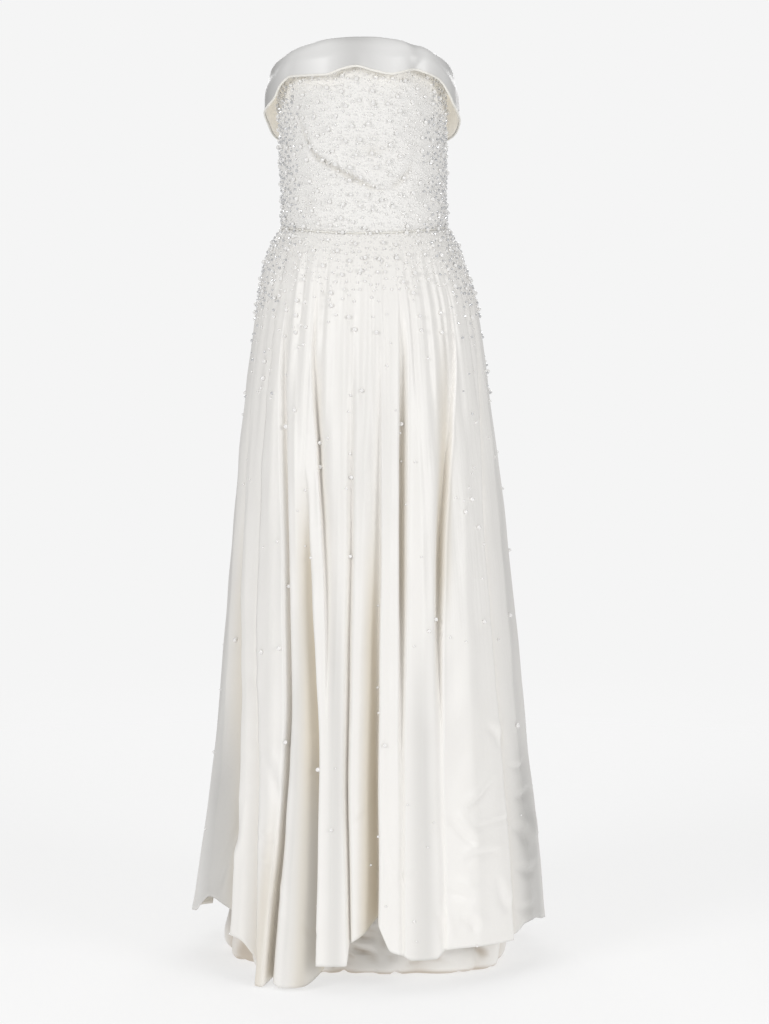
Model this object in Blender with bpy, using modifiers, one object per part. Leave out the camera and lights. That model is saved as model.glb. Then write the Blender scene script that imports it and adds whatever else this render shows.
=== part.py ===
# Strapless wedding dress: beaded bodice, turned-down collar, full folded skirt and the layer under it.
# Metres, +Z up. The front faces -Y and the wearer's left is +X.
# The origin is the middle of the waist seam, where the wearer holds the dress up.
# A turn is an angle round the body in degrees: 0 at the centre front, 90 at the wearer's left side.

from collections import namedtuple

import bpy
import numpy as np

CLOTH = 0.0018            # satin with its backing, sewn as one wall
COLLAR_CLOTH = 0.0022     # satin folded over an interlining
SEAM_GAP = 0.0003
WAIST_SIDE_RISE = 0.008   # the waist seam climbs a little from the front to the sides
WAIST_BACK_RISE = 0.010
FLOOR = -1.112            # where the longest folds and the layer below touch the floor
HIGH, MIDDLE, LOWER, LOW = 0.17, 0.50, 0.80, 1.08   # depths below the waist at which a fold's place is stated
CREASE_POWER = 1.35       # 1 gives a knife crease, 2 a round trough
COLLAR_TURN = 0.0125      # height of the collar above the edge of the bodice that it is sewn to
ROLL = 0.0135             # width of the soft roll along the top of the collar

# Half widths and depths of the bodice at heights above the waist, and how far it leans to its right
BodiceSection = namedtuple("BodiceSection", "up side front back lean")
BODICE = [
    BodiceSection(0.000, 0.1225, 0.0950, 0.0940, 0.0000),
    BodiceSection(0.016, 0.1256, 0.0985, 0.0960, 0.0002),
    BodiceSection(0.050, 0.1234, 0.0985, 0.0945, 0.0010),
    BodiceSection(0.095, 0.1252, 0.1060, 0.0950, 0.0018),
    BodiceSection(0.135, 0.1254, 0.1140, 0.0960, 0.0024),
    BodiceSection(0.175, 0.1262, 0.1180, 0.0970, 0.0032),
    BodiceSection(0.215, 0.1272, 0.1150, 0.0980, 0.0038),
    BodiceSection(0.250, 0.1270, 0.1090, 0.0980, 0.0040),
    BodiceSection(0.280, 0.1260, 0.1050, 0.0980, 0.0040),
]

# The collar: height of its top roll and of its free edge, and how far the edge stands off the bodice
CollarPlace = namedtuple("CollarPlace", "turn top edge stand")
COLLAR = [
    CollarPlace(-180, 0.1960, 0.140, 0.0190),
    CollarPlace(-150, 0.2010, 0.137, 0.0220),
    CollarPlace(-118, 0.2150, 0.144, 0.0210),
    CollarPlace(-104, 0.2245, 0.160, 0.0215),
    CollarPlace(-90, 0.2340, 0.179, 0.0215),
    CollarPlace(-77, 0.2470, 0.187, 0.0215),
    CollarPlace(-65, 0.2575, 0.200, 0.0205),
    CollarPlace(-56, 0.2640, 0.221, 0.0180),
    CollarPlace(-47, 0.2720, 0.232, 0.0165),
    CollarPlace(-33, 0.2795, 0.2325, 0.0175),
    CollarPlace(-21, 0.2855, 0.233, 0.0185),
    CollarPlace(-12, 0.2870, 0.241, 0.0155),
    CollarPlace(-3, 0.2880, 0.2455, 0.0140),
    CollarPlace(7, 0.2880, 0.239, 0.0165),
    CollarPlace(18, 0.2860, 0.234, 0.0190),
    CollarPlace(27, 0.2830, 0.2385, 0.0165),
    CollarPlace(34, 0.2780, 0.2415, 0.0145),
    CollarPlace(43, 0.2750, 0.236, 0.0165),
    CollarPlace(54, 0.2655, 0.227, 0.0185),
    CollarPlace(62, 0.2600, 0.208, 0.0200),
    CollarPlace(70, 0.2535, 0.190, 0.0210),
    CollarPlace(80, 0.2445, 0.180, 0.0215),
    CollarPlace(90, 0.2340, 0.171, 0.0220),
    CollarPlace(104, 0.2245, 0.151, 0.0195),
    CollarPlace(118, 0.2150, 0.1415, 0.0190),
    CollarPlace(150, 0.2010, 0.137, 0.0220),
    CollarPlace(180, 0.1960, 0.140, 0.0190),
]

# Half widths and depths of the skirt over its ridges, at depths below the waist
# Above 2, square fills out the corners of the oval on the left side.
SkirtSection = namedtuple("SkirtSection", "below right left front back square")
SKIRT = [
    SkirtSection(0.000, 0.1225, 0.1225, 0.0950, 0.0940, 2.0),
    SkirtSection(0.010, 0.1310, 0.1310, 0.1010, 0.1010, 2.0),
    SkirtSection(0.030, 0.1430, 0.1430, 0.1120, 0.1150, 2.0),
    SkirtSection(0.060, 0.1530, 0.1535, 0.1230, 0.1300, 2.0),
    SkirtSection(0.120, 0.1640, 0.1720, 0.1370, 0.1480, 2.0),
    SkirtSection(0.300, 0.1870, 0.1960, 0.1630, 0.1830, 2.0),
    SkirtSection(0.550, 0.2070, 0.2250, 0.1950, 0.2260, 2.0),
    SkirtSection(0.800, 0.2300, 0.2500, 0.2260, 0.2680, 2.0),
    SkirtSection(0.940, 0.2490, 0.2670, 0.2430, 0.2900, 2.0),
    SkirtSection(1.110, 0.2740, 0.2820, 0.2620, 0.3150, 2.0),
]
UNDERSKIRT = [
    SkirtSection(0.000, 0.1200, 0.1200, 0.0925, 0.0915, 2.0),
    SkirtSection(0.030, 0.1290, 0.1290, 0.0990, 0.1000, 2.0),
    SkirtSection(0.120, 0.1410, 0.1420, 0.1080, 0.1160, 2.0),
    SkirtSection(0.400, 0.1640, 0.1680, 0.1240, 0.1460, 2.2),
    SkirtSection(0.800, 0.1900, 0.1980, 0.1400, 0.1860, 2.6),
    SkirtSection(1.060, 0.2210, 0.2190, 0.1550, 0.2160, 3.4),
    SkirtSection(1.112, 0.2300, 0.2220, 0.1580, 0.2200, 3.6),
]

# The folds of the skirt, one row for each valley between two ridges, from the centre back round.
# high, middle, lower and low are its turns at those depths; start is the depth at which it begins;
# deep_middle, deep_lower and deep_low say how far it sinks; right and left are the spreads of its two
# slopes in degrees; lean is how far its bottom slides sideways, under the ridge beside it.
Valley = namedtuple("Valley", "name high middle lower low start deep_middle deep_lower deep_low right left lean")
FOLDS = [
    Valley("centre back seam", -180, -180, -180, -180, 0.02, 0.003, 0.004, 0.006, 2.5, 2.5, 0.0),
    Valley("right back inner", -163, -161, -160, -160, 0.12, 0.024, 0.040, 0.052, 3.5, 3.0, 0.0),
    Valley("right back", -142, -140, -139, -139, 0.15, 0.026, 0.038, 0.048, 4.0, 3.0, 1.0),
    Valley("right back outer", -122, -119, -118, -118, 0.10, 0.022, 0.042, 0.055, 3.5, 4.0, 0.0),
    Valley("right behind side", -100, -99, -100, -100, 0.16, 0.014, 0.020, 0.024, 4.0, 4.0, 0.0),
    Valley("right side", -72, -66.4, -55.4, -51.2, 0.25, 0.009, 0.028, 0.044, 6.5, 3.4, 0.4),
    Valley("right seam", -54, -52.8, -44.4, -37.6, 0.02, 0.002, 0.005, 0.010, 3.0, 2.4, 0.0),
    Valley("right front", -45.2, -34.4, -30.2, -31.6, 0.10, 0.020, 0.024, 0.032, 2.8, 3.0, 0.0),
    Valley("right square", -30.8, -24.0, -18.2, -16.7, 0.36, 0.006, 0.018, 0.022, 4.0, 3.2, 0.0),
    Valley("right diagonal", -26.2, -15.9, -12.5, -10.3, 0.05, 0.020, 0.005, 0.001, 2.4, 2.6, 0.0),
    Valley("beside centre", -5.9, -5.7, -6.3, -4.3, 0.20, 0.012, 0.016, 0.012, 2.2, 2.2, 0.0),
    Valley("centre", 7.0, 5.2, 3.6, 2.6, 0.14, 0.018, 0.034, 0.044, 3.4, 2.4, 1.0),
    Valley("left of centre", 19.4, 15.3, 13.3, 11.6, 0.10, 0.020, 0.010, 0.006, 2.4, 2.2, 0.0),
    Valley("left front", 49.1, 31.6, 27.1, 25.0, 0.06, 0.020, 0.004, 0.004, 2.6, 2.4, 0.6),
    Valley("left seam", 71.0, 58.0, 57.9, 55.3, 0.08, 0.007, 0.010, 0.014, 2.6, 3.0, 0.0),
    Valley("left behind side", 99, 97, 97, 97, 0.14, 0.022, 0.034, 0.042, 4.0, 3.5, 0.0),
    Valley("left back outer", 121, 119, 118, 118, 0.12, 0.026, 0.042, 0.056, 3.5, 4.0, 0.0),
    Valley("left back", 141, 140, 140, 140, 0.15, 0.022, 0.036, 0.046, 3.5, 3.5, -1.0),
    Valley("left back inner", 162, 161, 162, 162, 0.10, 0.026, 0.042, 0.054, 3.0, 3.5, 0.0),
    Valley("centre back seam", 180, 180, 180, 180, 0.02, 0.003, 0.004, 0.006, 2.5, 2.5, 0.0),
]
UNDER_FOLDS = [
    Valley("back", -180, -180, -180, -180, 0.2, 0.004, 0.009, 0.014, 8, 8, 0),
    Valley("right back inner", -148, -148, -147, -146, 0.2, 0.006, 0.011, 0.016, 7, 9, 0),
    Valley("right back outer", -118, -118, -117.5, -117, 0.3, 0.005, 0.011, 0.018, 8, 7, 0),
    Valley("right side", -82, -82, -83, -84, 0.3, 0.006, 0.023, 0.040, 9, 9, 0),
    Valley("right front", -57, -57, -57.5, -58, 0.2, 0.007, 0.017, 0.026, 9, 8, 0),
    Valley("right middle", -33, -33, -32, -31, 0.3, 0.004, 0.008, 0.012, 6, 6, 0),
    Valley("front", -9, -9, -7.5, -6, 0.3, 0.004, 0.009, 0.014, 5, 6, 0),
    Valley("left middle", 14, 14, 14.5, 15, 0.3, 0.004, 0.007, 0.010, 6, 5, 0),
    Valley("left front", 41, 41, 42.5, 44, 0.3, 0.005, 0.006, 0.008, 6, 7, 0),
    Valley("left side", 78, 78, 77, 76, 0.3, 0.004, 0.008, 0.012, 8, 7, 0),
    Valley("left back outer", 112, 112, 112.5, 113, 0.2, 0.005, 0.012, 0.018, 7, 8, 0),
    Valley("left back inner", 146, 146, 145, 144, 0.3, 0.005, 0.010, 0.016, 8, 7, 0),
    Valley("back", 180, 180, 180, 180, 0.2, 0.004, 0.009, 0.014, 8, 8, 0),
]

# The height of the skirt's hem round the dress, which dips and climbs with the folds
HemPlace = namedtuple("HemPlace", "turn height")
HEM = [
    HemPlace(-180, -1.076),
    HemPlace(-139, -1.068),
    HemPlace(-118, -1.058),
    HemPlace(-100, -1.046),
    HemPlace(-90, -1.041),
    HemPlace(-80, -1.036),
    HemPlace(-72, -1.017),
    HemPlace(-65, -1.001),
    HemPlace(-59, -1.012),
    HemPlace(-50, -1.042),
    HemPlace(-44, -1.048),
    HemPlace(-40.5, -1.070),
    HemPlace(-37.5, -1.108),
    HemPlace(-33, -1.110),
    HemPlace(-31, -1.101),
    HemPlace(-27, -1.108),
    HemPlace(-20.5, -1.106),
    HemPlace(-17, -1.085),
    HemPlace(-15, -1.072),
    HemPlace(-5.6, -1.071),
    HemPlace(-4.4, -1.040),
    HemPlace(-1, -1.028),
    HemPlace(3.0, -1.008),
    HemPlace(8, -1.050),
    HemPlace(11.2, -1.056),
    HemPlace(15, -1.064),
    HemPlace(22, -1.064),
    HemPlace(26, -1.052),
    HemPlace(55, -1.056),
    HemPlace(57.5, -1.050),
    HemPlace(61, -1.038),
    HemPlace(67, -1.036),
    HemPlace(77, -1.045),
    HemPlace(97, -1.056),
    HemPlace(118, -1.062),
    HemPlace(140, -1.068),
    HemPlace(180, -1.076),
]

# The lower edge of the layer below the skirt rolls under itself: steps inwards and up from its widest ring
Roll = namedtuple("Roll", "inward up")
TURNED_UNDER = [
    Roll(0.0000, 0.030),
    Roll(0.0030, 0.012),
    Roll(0.0100, 0.002),
    Roll(0.0200, 0.000),
    Roll(0.0340, 0.003),
]

BODICE_ROWS = np.linspace(0.0, 1.0, 9)
SKIRT_ROWS = np.array([0.0, 0.010, 0.028, 0.065, 0.12, 0.20, 0.30, 0.42, 0.55, 0.68, 0.80, 0.90, 1.0])
UNDERSKIRT_ROWS = np.array([0.0, 0.03, 0.10, 0.25, 0.42, 0.60, 0.78, 0.92])
BODICE_STEP = 7.5
SEAM_STRIP = 0.7          # a narrow strip beside a seam keeps both edges square to the cloth
COLLAR_STEP = 5.0
PANEL_STEP = 3.1          # degrees between columns of a skirt panel, on average
UNDER_STEP = 6.5

# Where the pieces are cut: the turn of each seam, or the name of the fold that it follows
BODICE_CUTS = {
    "bodice_back_right": (-180, -90),
    "bodice_front": (-90, 90),
    "bodice_back_left": (90, 180),
}
SKIRT_CUTS = {
    "skirt_back_right": ("centre back seam", "right seam"),
    "skirt_front": ("right seam", "left seam"),
    "skirt_back_left": ("left seam", "centre back seam"),
}

Finish = namedtuple("Finish", "colour roughness")
SATIN = Finish((0.88, 0.87, 0.83, 1.0), 0.34)
BEADED = Finish((0.85, 0.84, 0.80, 1.0), 0.45)
COLLAR_SATIN = Finish((0.80, 0.80, 0.78, 1.0), 0.30)
LINING = Finish((0.74, 0.69, 0.60, 1.0), 0.40)
FINISHES = {
    "bodice_front": BEADED,
    "bodice_back_left": BEADED,
    "bodice_back_right": BEADED,
    "collar": COLLAR_SATIN,
    "skirt_front": SATIN,
    "skirt_back_left": SATIN,
    "skirt_back_right": SATIN,
    "underskirt": LINING,
}


def column_of(table, name):
    """One named column of a table as an array."""
    return np.array([getattr(row, name) for row in table], float)


def through(places, values, at):
    """A smooth curve through the stated values that never swings past them."""
    places = np.asarray(places, float)
    values = np.asarray(values, float)
    at = np.clip(np.asarray(at, float), places[0], places[-1])
    steps = np.diff(places)
    slopes = np.diff(values) / steps
    tangents = np.zeros(len(places))
    both = slopes[:-1] * slopes[1:] > 0
    inner = np.zeros(len(slopes) - 1)
    inner[both] = 2 * slopes[:-1][both] * slopes[1:][both] / (slopes[:-1] + slopes[1:])[both]
    tangents[1:-1] = inner
    tangents[0] = slopes[0]
    tangents[-1] = slopes[-1]
    cell = np.clip(np.searchsorted(places, at, side="right") - 1, 0, len(steps) - 1)
    width = steps[cell]
    along = (at - places[cell]) / width
    return (
        values[cell] * (1 + 2 * along) * (1 - along) ** 2
        + tangents[cell] * width * along * (1 - along) ** 2
        + values[cell + 1] * along**2 * (3 - 2 * along)
        + tangents[cell + 1] * width * along**2 * (along - 1)
    )


def read(table, key, name, at):
    """The value of one column of a table, at a place along its key column."""
    return through(column_of(table, key), column_of(table, name), at)


def waist_height(turn):
    """The waist seam climbs to the sides, and on to the centre back."""
    side = np.sin(np.radians(turn)) ** 2
    behind = np.clip(-np.cos(np.radians(turn)), 0, 1)
    return WAIST_SIDE_RISE * side + WAIST_BACK_RISE * behind


def oval(turn, right, left, front, back, square=2.0):
    """A point on an oval with its own half widths and depths."""
    angle = np.radians(turn)
    across = np.sin(angle)
    ahead = np.cos(angle)
    wide = np.where(across < 0, right, left)
    deep = np.where(ahead > 0, front, back)
    corner = 2.0 / (2.0 + (square - 2.0) * (0.5 + 0.5 * across))
    x = wide * np.sign(across) * np.abs(across) ** corner
    y = -deep * np.sign(ahead) * np.abs(ahead) ** corner
    return x, y


def bodice_outline(turn, height, out=0.0):
    """A point of the bodice, or out metres clear of it."""
    side = read(BODICE, "up", "side", height) + out
    front = read(BODICE, "up", "front", height) + out
    back = read(BODICE, "up", "back", height) + out
    x, y = oval(turn, side, side, front, back)
    return x - read(BODICE, "up", "lean", height), y


def valley_turn(valley, below):
    """Where a fold's valley lies at a depth below the waist."""
    places = [valley.high, valley.middle, valley.lower, valley.low]
    return through([HIGH, MIDDLE, LOWER, LOW], places, below)


def valley_depth(valley, below):
    """How far a fold's valley sinks at a depth below the waist."""
    sinks = [0.0, valley.deep_middle, valley.deep_lower, valley.deep_low]
    depth = through([valley.start, MIDDLE, LOWER, LOW], sinks, below)
    return np.where(below <= valley.start, 0.0, depth)


def folded_outline(sections, folds, turn, below):
    """A point of a skirt: its oval over the ridges, sunk into the valleys."""
    sunk = np.zeros_like(turn)
    slid = np.zeros_like(turn)
    for valley in folds[:-1]:
        away = (turn - valley_turn(valley, below) + 180.0) % 360.0 - 180.0
        spread = np.where(away < 0, valley.right, valley.left)
        share = np.exp(-((np.abs(away) / spread) ** CREASE_POWER))
        depth = valley_depth(valley, below)
        sunk += depth * share
        slid += valley.lean * share * depth / max(valley.deep_middle, valley.deep_low)
    sizes = [read(sections, "below", name, below) for name in SkirtSection._fields[1:]]
    x, y = oval(turn + slid, *sizes)
    shrink = 1.0 - sunk / np.hypot(x, y)
    return x * shrink, y * shrink


def fold_columns(folds, step):
    """Columns across each panel, closer together beside its valleys: pairs of panel and share across it."""
    columns = []
    for panel in range(len(folds) - 1):
        width = folds[panel + 1].low - folds[panel].low
        top_width = folds[panel + 1].high - folds[panel].high
        count = max(3, int(round(max(width, 0.75 * top_width) / step)))
        for number in range(count):
            even = number / count
            eased = 0.5 - 0.5 * np.cos(np.pi * even)
            columns.append((panel, 0.5 * even + 0.5 * eased))
    columns.append((len(folds) - 2, 1.0))
    return columns


def column_turn(folds, column, below):
    """The turn of a column at a depth: it runs down along the folds beside it."""
    panel, share = column
    first = valley_turn(folds[panel], below)
    last = valley_turn(folds[panel + 1], below)
    return first + (last - first) * share


def skirt_surface():
    """The outer face of the skirt: columns of points from the waist seam to the hem."""
    columns = fold_columns(FOLDS, PANEL_STEP)
    surface = []
    for column in columns:
        hem_turn = column_turn(FOLDS, column, np.array(LOW))
        top = waist_height(column_turn(FOLDS, column, np.array(0.0))) - SEAM_GAP / 2
        hem = read(HEM, "turn", "height", hem_turn)
        height = top + (hem - top) * SKIRT_ROWS
        below = np.clip(top - height, 0.0, None)
        turn = column_turn(FOLDS, column, below)
        x, y = folded_outline(SKIRT, FOLDS, turn, below)
        surface.append(np.stack([x, y, height], axis=1))
    return np.array(surface), columns


def underskirt_surface():
    """The outer face of the layer below the skirt, down to the floor and rolled under."""
    surface = []
    columns = fold_columns(UNDER_FOLDS, UNDER_STEP)
    for column in columns[:-1]:
        top = waist_height(column_turn(UNDER_FOLDS, column, np.array(0.0))) - SEAM_GAP / 2
        lowest = FLOOR + TURNED_UNDER[0].up
        height = top + (lowest - top) * UNDERSKIRT_ROWS
        inward = np.zeros_like(height)
        height = np.append(height, [FLOOR + step.up for step in TURNED_UNDER])
        inward = np.append(inward, [step.inward for step in TURNED_UNDER])
        below = np.clip(top - height, 0.0, None)
        turn = column_turn(UNDER_FOLDS, column, below)
        x, y = folded_outline(UNDERSKIRT, UNDER_FOLDS, turn, below)
        shrink = 1.0 - inward / np.hypot(x, y)
        surface.append(np.stack([x * shrink, y * shrink, height], axis=1))
    return np.array(surface)


def bodice_surface(first, last):
    """The outer face of a bodice panel between two seams."""
    trim = np.degrees(SEAM_GAP / 2 / BODICE[0].side)
    turns = np.linspace(first + trim, last - trim, int(round((last - first) / BODICE_STEP)) + 1)
    turns = np.concatenate([turns[:1], [turns[0] + SEAM_STRIP], turns[1:-1], [turns[-1] - SEAM_STRIP], turns[-1:]])
    surface = []
    for turn in turns:
        bottom = waist_height(turn) + SEAM_GAP / 2
        top = read(COLLAR, "turn", "top", turn) - COLLAR_TURN
        height = top + (bottom - top) * BODICE_ROWS
        x, y = bodice_outline(turn, height - waist_height(turn))
        surface.append(np.stack([x, y, height], axis=1))
    return np.array(surface)


def collar_profile(turn):
    """The collar's section: up from the bodice edge, over the roll and down to the free edge."""
    top = float(read(COLLAR, "turn", "top", turn))
    edge = float(read(COLLAR, "turn", "edge", turn))
    stand = float(read(COLLAR, "turn", "stand", turn))
    out = [stand, 0.55 * stand + 0.45 * ROLL + 0.002, ROLL, 0.92 * ROLL, 0.55 * ROLL, 0.12 * ROLL, 0.0]
    fall = top - edge
    down = [fall, 0.55 * fall, 0.22 * fall, 0.004, 0.0, 0.0045, COLLAR_TURN - SEAM_GAP]
    return np.array(out), top - np.array(down)


def collar_surface():
    """The outer face of the collar, which opens at the centre back."""
    trim = np.degrees(SEAM_GAP / BODICE[0].side)
    turns = np.linspace(-180 + trim, 180 - trim, int(round(360 / COLLAR_STEP)) + 1)
    surface = []
    for turn in turns:
        out, height = collar_profile(turn)
        x, y = bodice_outline(turn, height - waist_height(turn), out)
        surface.append(np.stack([x, y, height], axis=1))
    return np.array(surface)[:, ::-1]


def seam_trimmed(surface):
    """A piece's outer face, drawn back from its two side seams by half the gap."""
    surface = surface.copy()
    for end, beside in ((0, 1), (-1, -2)):
        inwards = surface[beside] - surface[end]
        inwards /= np.linalg.norm(inwards, axis=1, keepdims=True)
        surface[end] += inwards * SEAM_GAP / 2
    return surface


def clear_scene():
    """Start from an empty scene."""
    for thing in list(bpy.data.objects):
        bpy.data.objects.remove(thing, do_unlink=True)


def cloth_material(name):
    """The piece's own cloth."""
    finish = FINISHES[name]
    material = bpy.data.materials.new(name + "_cloth")
    material.use_nodes = True
    shader = material.node_tree.nodes["Principled BSDF"]
    shader.inputs["Base Color"].default_value = finish.colour
    shader.inputs["Roughness"].default_value = finish.roughness
    shader.inputs["Metallic"].default_value = 0.0
    shader.inputs["Sheen Weight"].default_value = 0.2
    return material


def cloth_piece(collection, name, surface, wall, closed=False):
    """One piece of cloth: an open surface through the columns of points, given its wall by Solidify."""
    columns, rows = surface.shape[:2]
    faces = []
    for column in range(columns if closed else columns - 1):
        beside = (column + 1) % columns
        for row in range(rows - 1):
            faces.append(
                (
                    column * rows + row,
                    column * rows + row + 1,
                    beside * rows + row + 1,
                    beside * rows + row,
                )
            )
    mesh = bpy.data.meshes.new(name)
    mesh.from_pydata(surface.reshape(-1, 3).tolist(), [], faces)
    mesh.materials.append(cloth_material(name))
    mesh.shade_smooth()
    piece = bpy.data.objects.new(name, mesh)
    collection.objects.link(piece)
    thickness = piece.modifiers.new("wall", "SOLIDIFY")
    thickness.thickness = wall
    thickness.offset = -1.0
    thickness.use_even_offset = True
    thickness.use_rim = True
    return piece


def build_bodice(collection):
    """Front, and two backs that close at the centre back."""
    for name, (first, last) in BODICE_CUTS.items():
        cloth_piece(collection, name, bodice_surface(first, last), CLOTH)


def build_collar(collection):
    """A wide band sewn to the top of the bodice and turned down over it."""
    cloth_piece(collection, "collar", collar_surface(), COLLAR_CLOTH)


def build_skirt(collection):
    """Three panels, cut along the seams that run down beside the folds."""
    surface, columns = skirt_surface()
    names = [valley.name for valley in FOLDS]
    starts = {}
    for number, (panel, share) in enumerate(columns):
        if share == 0.0:
            starts.setdefault(names[panel], number)
    for name, (first, last) in SKIRT_CUTS.items():
        begin = starts[first]
        end = len(columns) - 1 if last == "centre back seam" else starts[last]
        cloth_piece(collection, name, seam_trimmed(surface[begin : end + 1]), CLOTH)


def build_underskirt(collection):
    """One tube from the waist seam to the floor."""
    cloth_piece(collection, "underskirt", underskirt_surface(), CLOTH, closed=True)


def main():
    clear_scene()
    collection = bpy.data.collections.new("wedding dress")
    bpy.context.scene.collection.children.link(collection)
    build_bodice(collection)
    build_collar(collection)
    build_skirt(collection)
    build_underskirt(collection)


main()
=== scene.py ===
import math
from collections import namedtuple

import bpy
import numpy as np
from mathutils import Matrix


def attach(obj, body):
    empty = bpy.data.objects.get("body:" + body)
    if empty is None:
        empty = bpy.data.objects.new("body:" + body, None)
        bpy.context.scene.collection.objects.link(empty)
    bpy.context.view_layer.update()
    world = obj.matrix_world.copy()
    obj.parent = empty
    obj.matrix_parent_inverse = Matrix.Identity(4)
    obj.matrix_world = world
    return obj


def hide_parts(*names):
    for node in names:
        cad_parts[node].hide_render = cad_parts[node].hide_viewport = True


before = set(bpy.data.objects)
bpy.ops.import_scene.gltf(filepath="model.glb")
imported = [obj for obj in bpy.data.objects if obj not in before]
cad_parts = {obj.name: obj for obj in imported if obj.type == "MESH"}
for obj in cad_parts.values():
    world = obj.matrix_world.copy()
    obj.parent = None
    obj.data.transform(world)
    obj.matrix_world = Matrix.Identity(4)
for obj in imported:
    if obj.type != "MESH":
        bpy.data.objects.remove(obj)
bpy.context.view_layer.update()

# Metres, +Z up. The front of the dress faces -Y and the wearer's left is +X.
# A turn is an angle round the body in degrees, 0 at the centre front and 90 at the wearer's left.
# "below" is a depth under the waist seam, "up" a height over it.

dress = {
    "waistSideRise": 0.008,
    "waistBackRise": 0.010,
    "floor": -1.112,
    "seamGap": 0.0003,
    "foldDepths": (0.17, 0.50, 0.80, 1.08),   # where a fold's place is stated
    "sinkDepths": (0.34, 0.50, 0.80, 1.08),   # where it is stated how far it sinks
    "tuckPower": 3.2,                   # where a panel's edge lies over the valley beside it
    "lip": 0.0013,                      # how far that edge rolls out
    "cloth": 0.0014,                    # satin with its backing
    "waistRoll": 0.0010,                # radius of the roll in the waist seam
    "waistRollUp": 0.0002,
    "waistRollOut": 0.0006,
}


def throughPoints(places, values, at):
    # smooth curve through the values that never swings past them
    places = np.asarray(places, float)
    values = np.asarray(values, float)
    at = np.clip(np.asarray(at, float), places[0], places[-1])
    steps = np.diff(places)
    slopes = np.diff(values) / steps
    tangents = np.zeros(len(places))
    both = slopes[:-1] * slopes[1:] > 0
    inner = np.zeros(len(slopes) - 1)
    inner[both] = 2 * slopes[:-1][both] * slopes[1:][both] / (slopes[:-1] + slopes[1:])[both]
    tangents[1:-1] = inner
    tangents[0] = slopes[0]
    tangents[-1] = slopes[-1]
    cell = np.clip(np.searchsorted(places, at, side="right") - 1, 0, len(steps) - 1)
    width = steps[cell]
    along = (at - places[cell]) / width
    return (
        values[cell] * (1 + 2 * along) * (1 - along) ** 2
        + tangents[cell] * width * along * (1 - along) ** 2
        + values[cell + 1] * along**2 * (3 - 2 * along)
        + tangents[cell + 1] * width * along**2 * (along - 1)
    )


def rowsOf(kind, *rows):
    return [kind(*row) for row in rows]


def readColumn(rows, key, name, at):
    places = [getattr(row, key) for row in rows]
    return throughPoints(places, [getattr(row, name) for row in rows], at)


def ease(value):
    value = np.clip(value, 0.0, 1.0)
    return value * value * (3 - 2 * value)


def bell(distance, width):
    return np.exp(-((distance / width) ** 2))


def waistHeight(turn):
    side = np.sin(np.radians(turn)) ** 2
    behind = np.clip(-np.cos(np.radians(turn)), 0, 1)
    return dress["waistSideRise"] * side + dress["waistBackRise"] * behind


def ovalPoint(turn, right, left, front, back, square=2.0):
    across = np.sin(np.radians(turn))
    ahead = np.cos(np.radians(turn))
    wide = np.where(across < 0, right, left)
    deep = np.where(ahead > 0, front, back)
    corner = 2.0 / (2.0 + (square - 2.0) * (0.5 + 0.5 * across))
    x = wide * np.sign(across) * np.abs(across) ** corner
    y = -deep * np.sign(ahead) * np.abs(ahead) ** corner
    return x, y


# Creases: soft troughs drawn as routes of (across, up) points on the front or the back

Crease = namedtuple("Crease", "width depth ridge route")


def creaseRelief(x, y, z, piece):
    relief = np.zeros_like(x)
    creases = [("front", crease) for crease in piece["frontCreases"]]
    creases += [("back", crease) for crease in piece["backCreases"]]
    for face, crease in creases:
        places = np.linspace(0, 1, len(crease.route))
        steps = np.linspace(0, 1, 18)
        across = throughPoints(places, [point[0] for point in crease.route], steps)
        up = throughPoints(places, [point[1] for point in crease.route], steps)
        reach = 4 * crease.width
        near = (x > across.min() - reach) & (x < across.max() + reach)
        near &= (z > up.min() - reach) & (z < up.max() + reach)
        near &= (y < 0) if face == "front" else (y > 0)
        if not near.any():
            continue
        px, pz = x[near], z[near]
        best = np.full(px.shape, 9.0)
        signed = np.zeros(px.shape)
        share = np.zeros(px.shape)
        for number in range(len(steps) - 1):
            dx = across[number + 1] - across[number]
            dz = up[number + 1] - up[number]
            size = dx * dx + dz * dz
            along = np.clip(((px - across[number]) * dx + (pz - up[number]) * dz) / size, 0, 1)
            offX = px - across[number] - along * dx
            offZ = pz - up[number] - along * dz
            away = np.hypot(offX, offZ)
            closer = away < best
            best = np.where(closer, away, best)
            signed = np.where(closer, np.sign(dx * offZ - dz * offX) * away, signed)
            share = np.where(closer, (number + along) / (len(steps) - 1), share)
        taper = np.sin(np.pi * np.clip(share, 0, 1)) ** 0.7
        trough = -crease.depth * bell(best, crease.width)
        ridge = crease.ridge * bell(signed - 1.7 * crease.width, 1.3 * crease.width)
        relief[near] += taper * (trough + ridge)
    return relief


def crumple(u, v, size, height, seed, waves=16):
    # low uneven swells, so that no panel is quite flat
    random = np.random.default_rng(seed)
    relief = np.zeros_like(u)
    for _ in range(waves):
        heading = random.uniform(0, math.pi)
        length = size * random.uniform(0.6, 2.0)
        phase = random.uniform(0, 2 * math.pi)
        way = (u * math.cos(heading) + v * math.sin(heading)) * 2 * math.pi / length
        relief += np.sin(way + phase)
    return relief * height / math.sqrt(waves)


def puckerRelief(distance, along, width, depth, size, seed):
    # a sewn seam sits in a shallow ditch, with small pulls on both sides of it
    pulls = crumple(along, along * 0.3, size, 1.0, seed, 8)
    return -depth * bell(distance, 0.35 * width) + 0.55 * depth * pulls * bell(distance, width)


# Bodice

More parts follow.
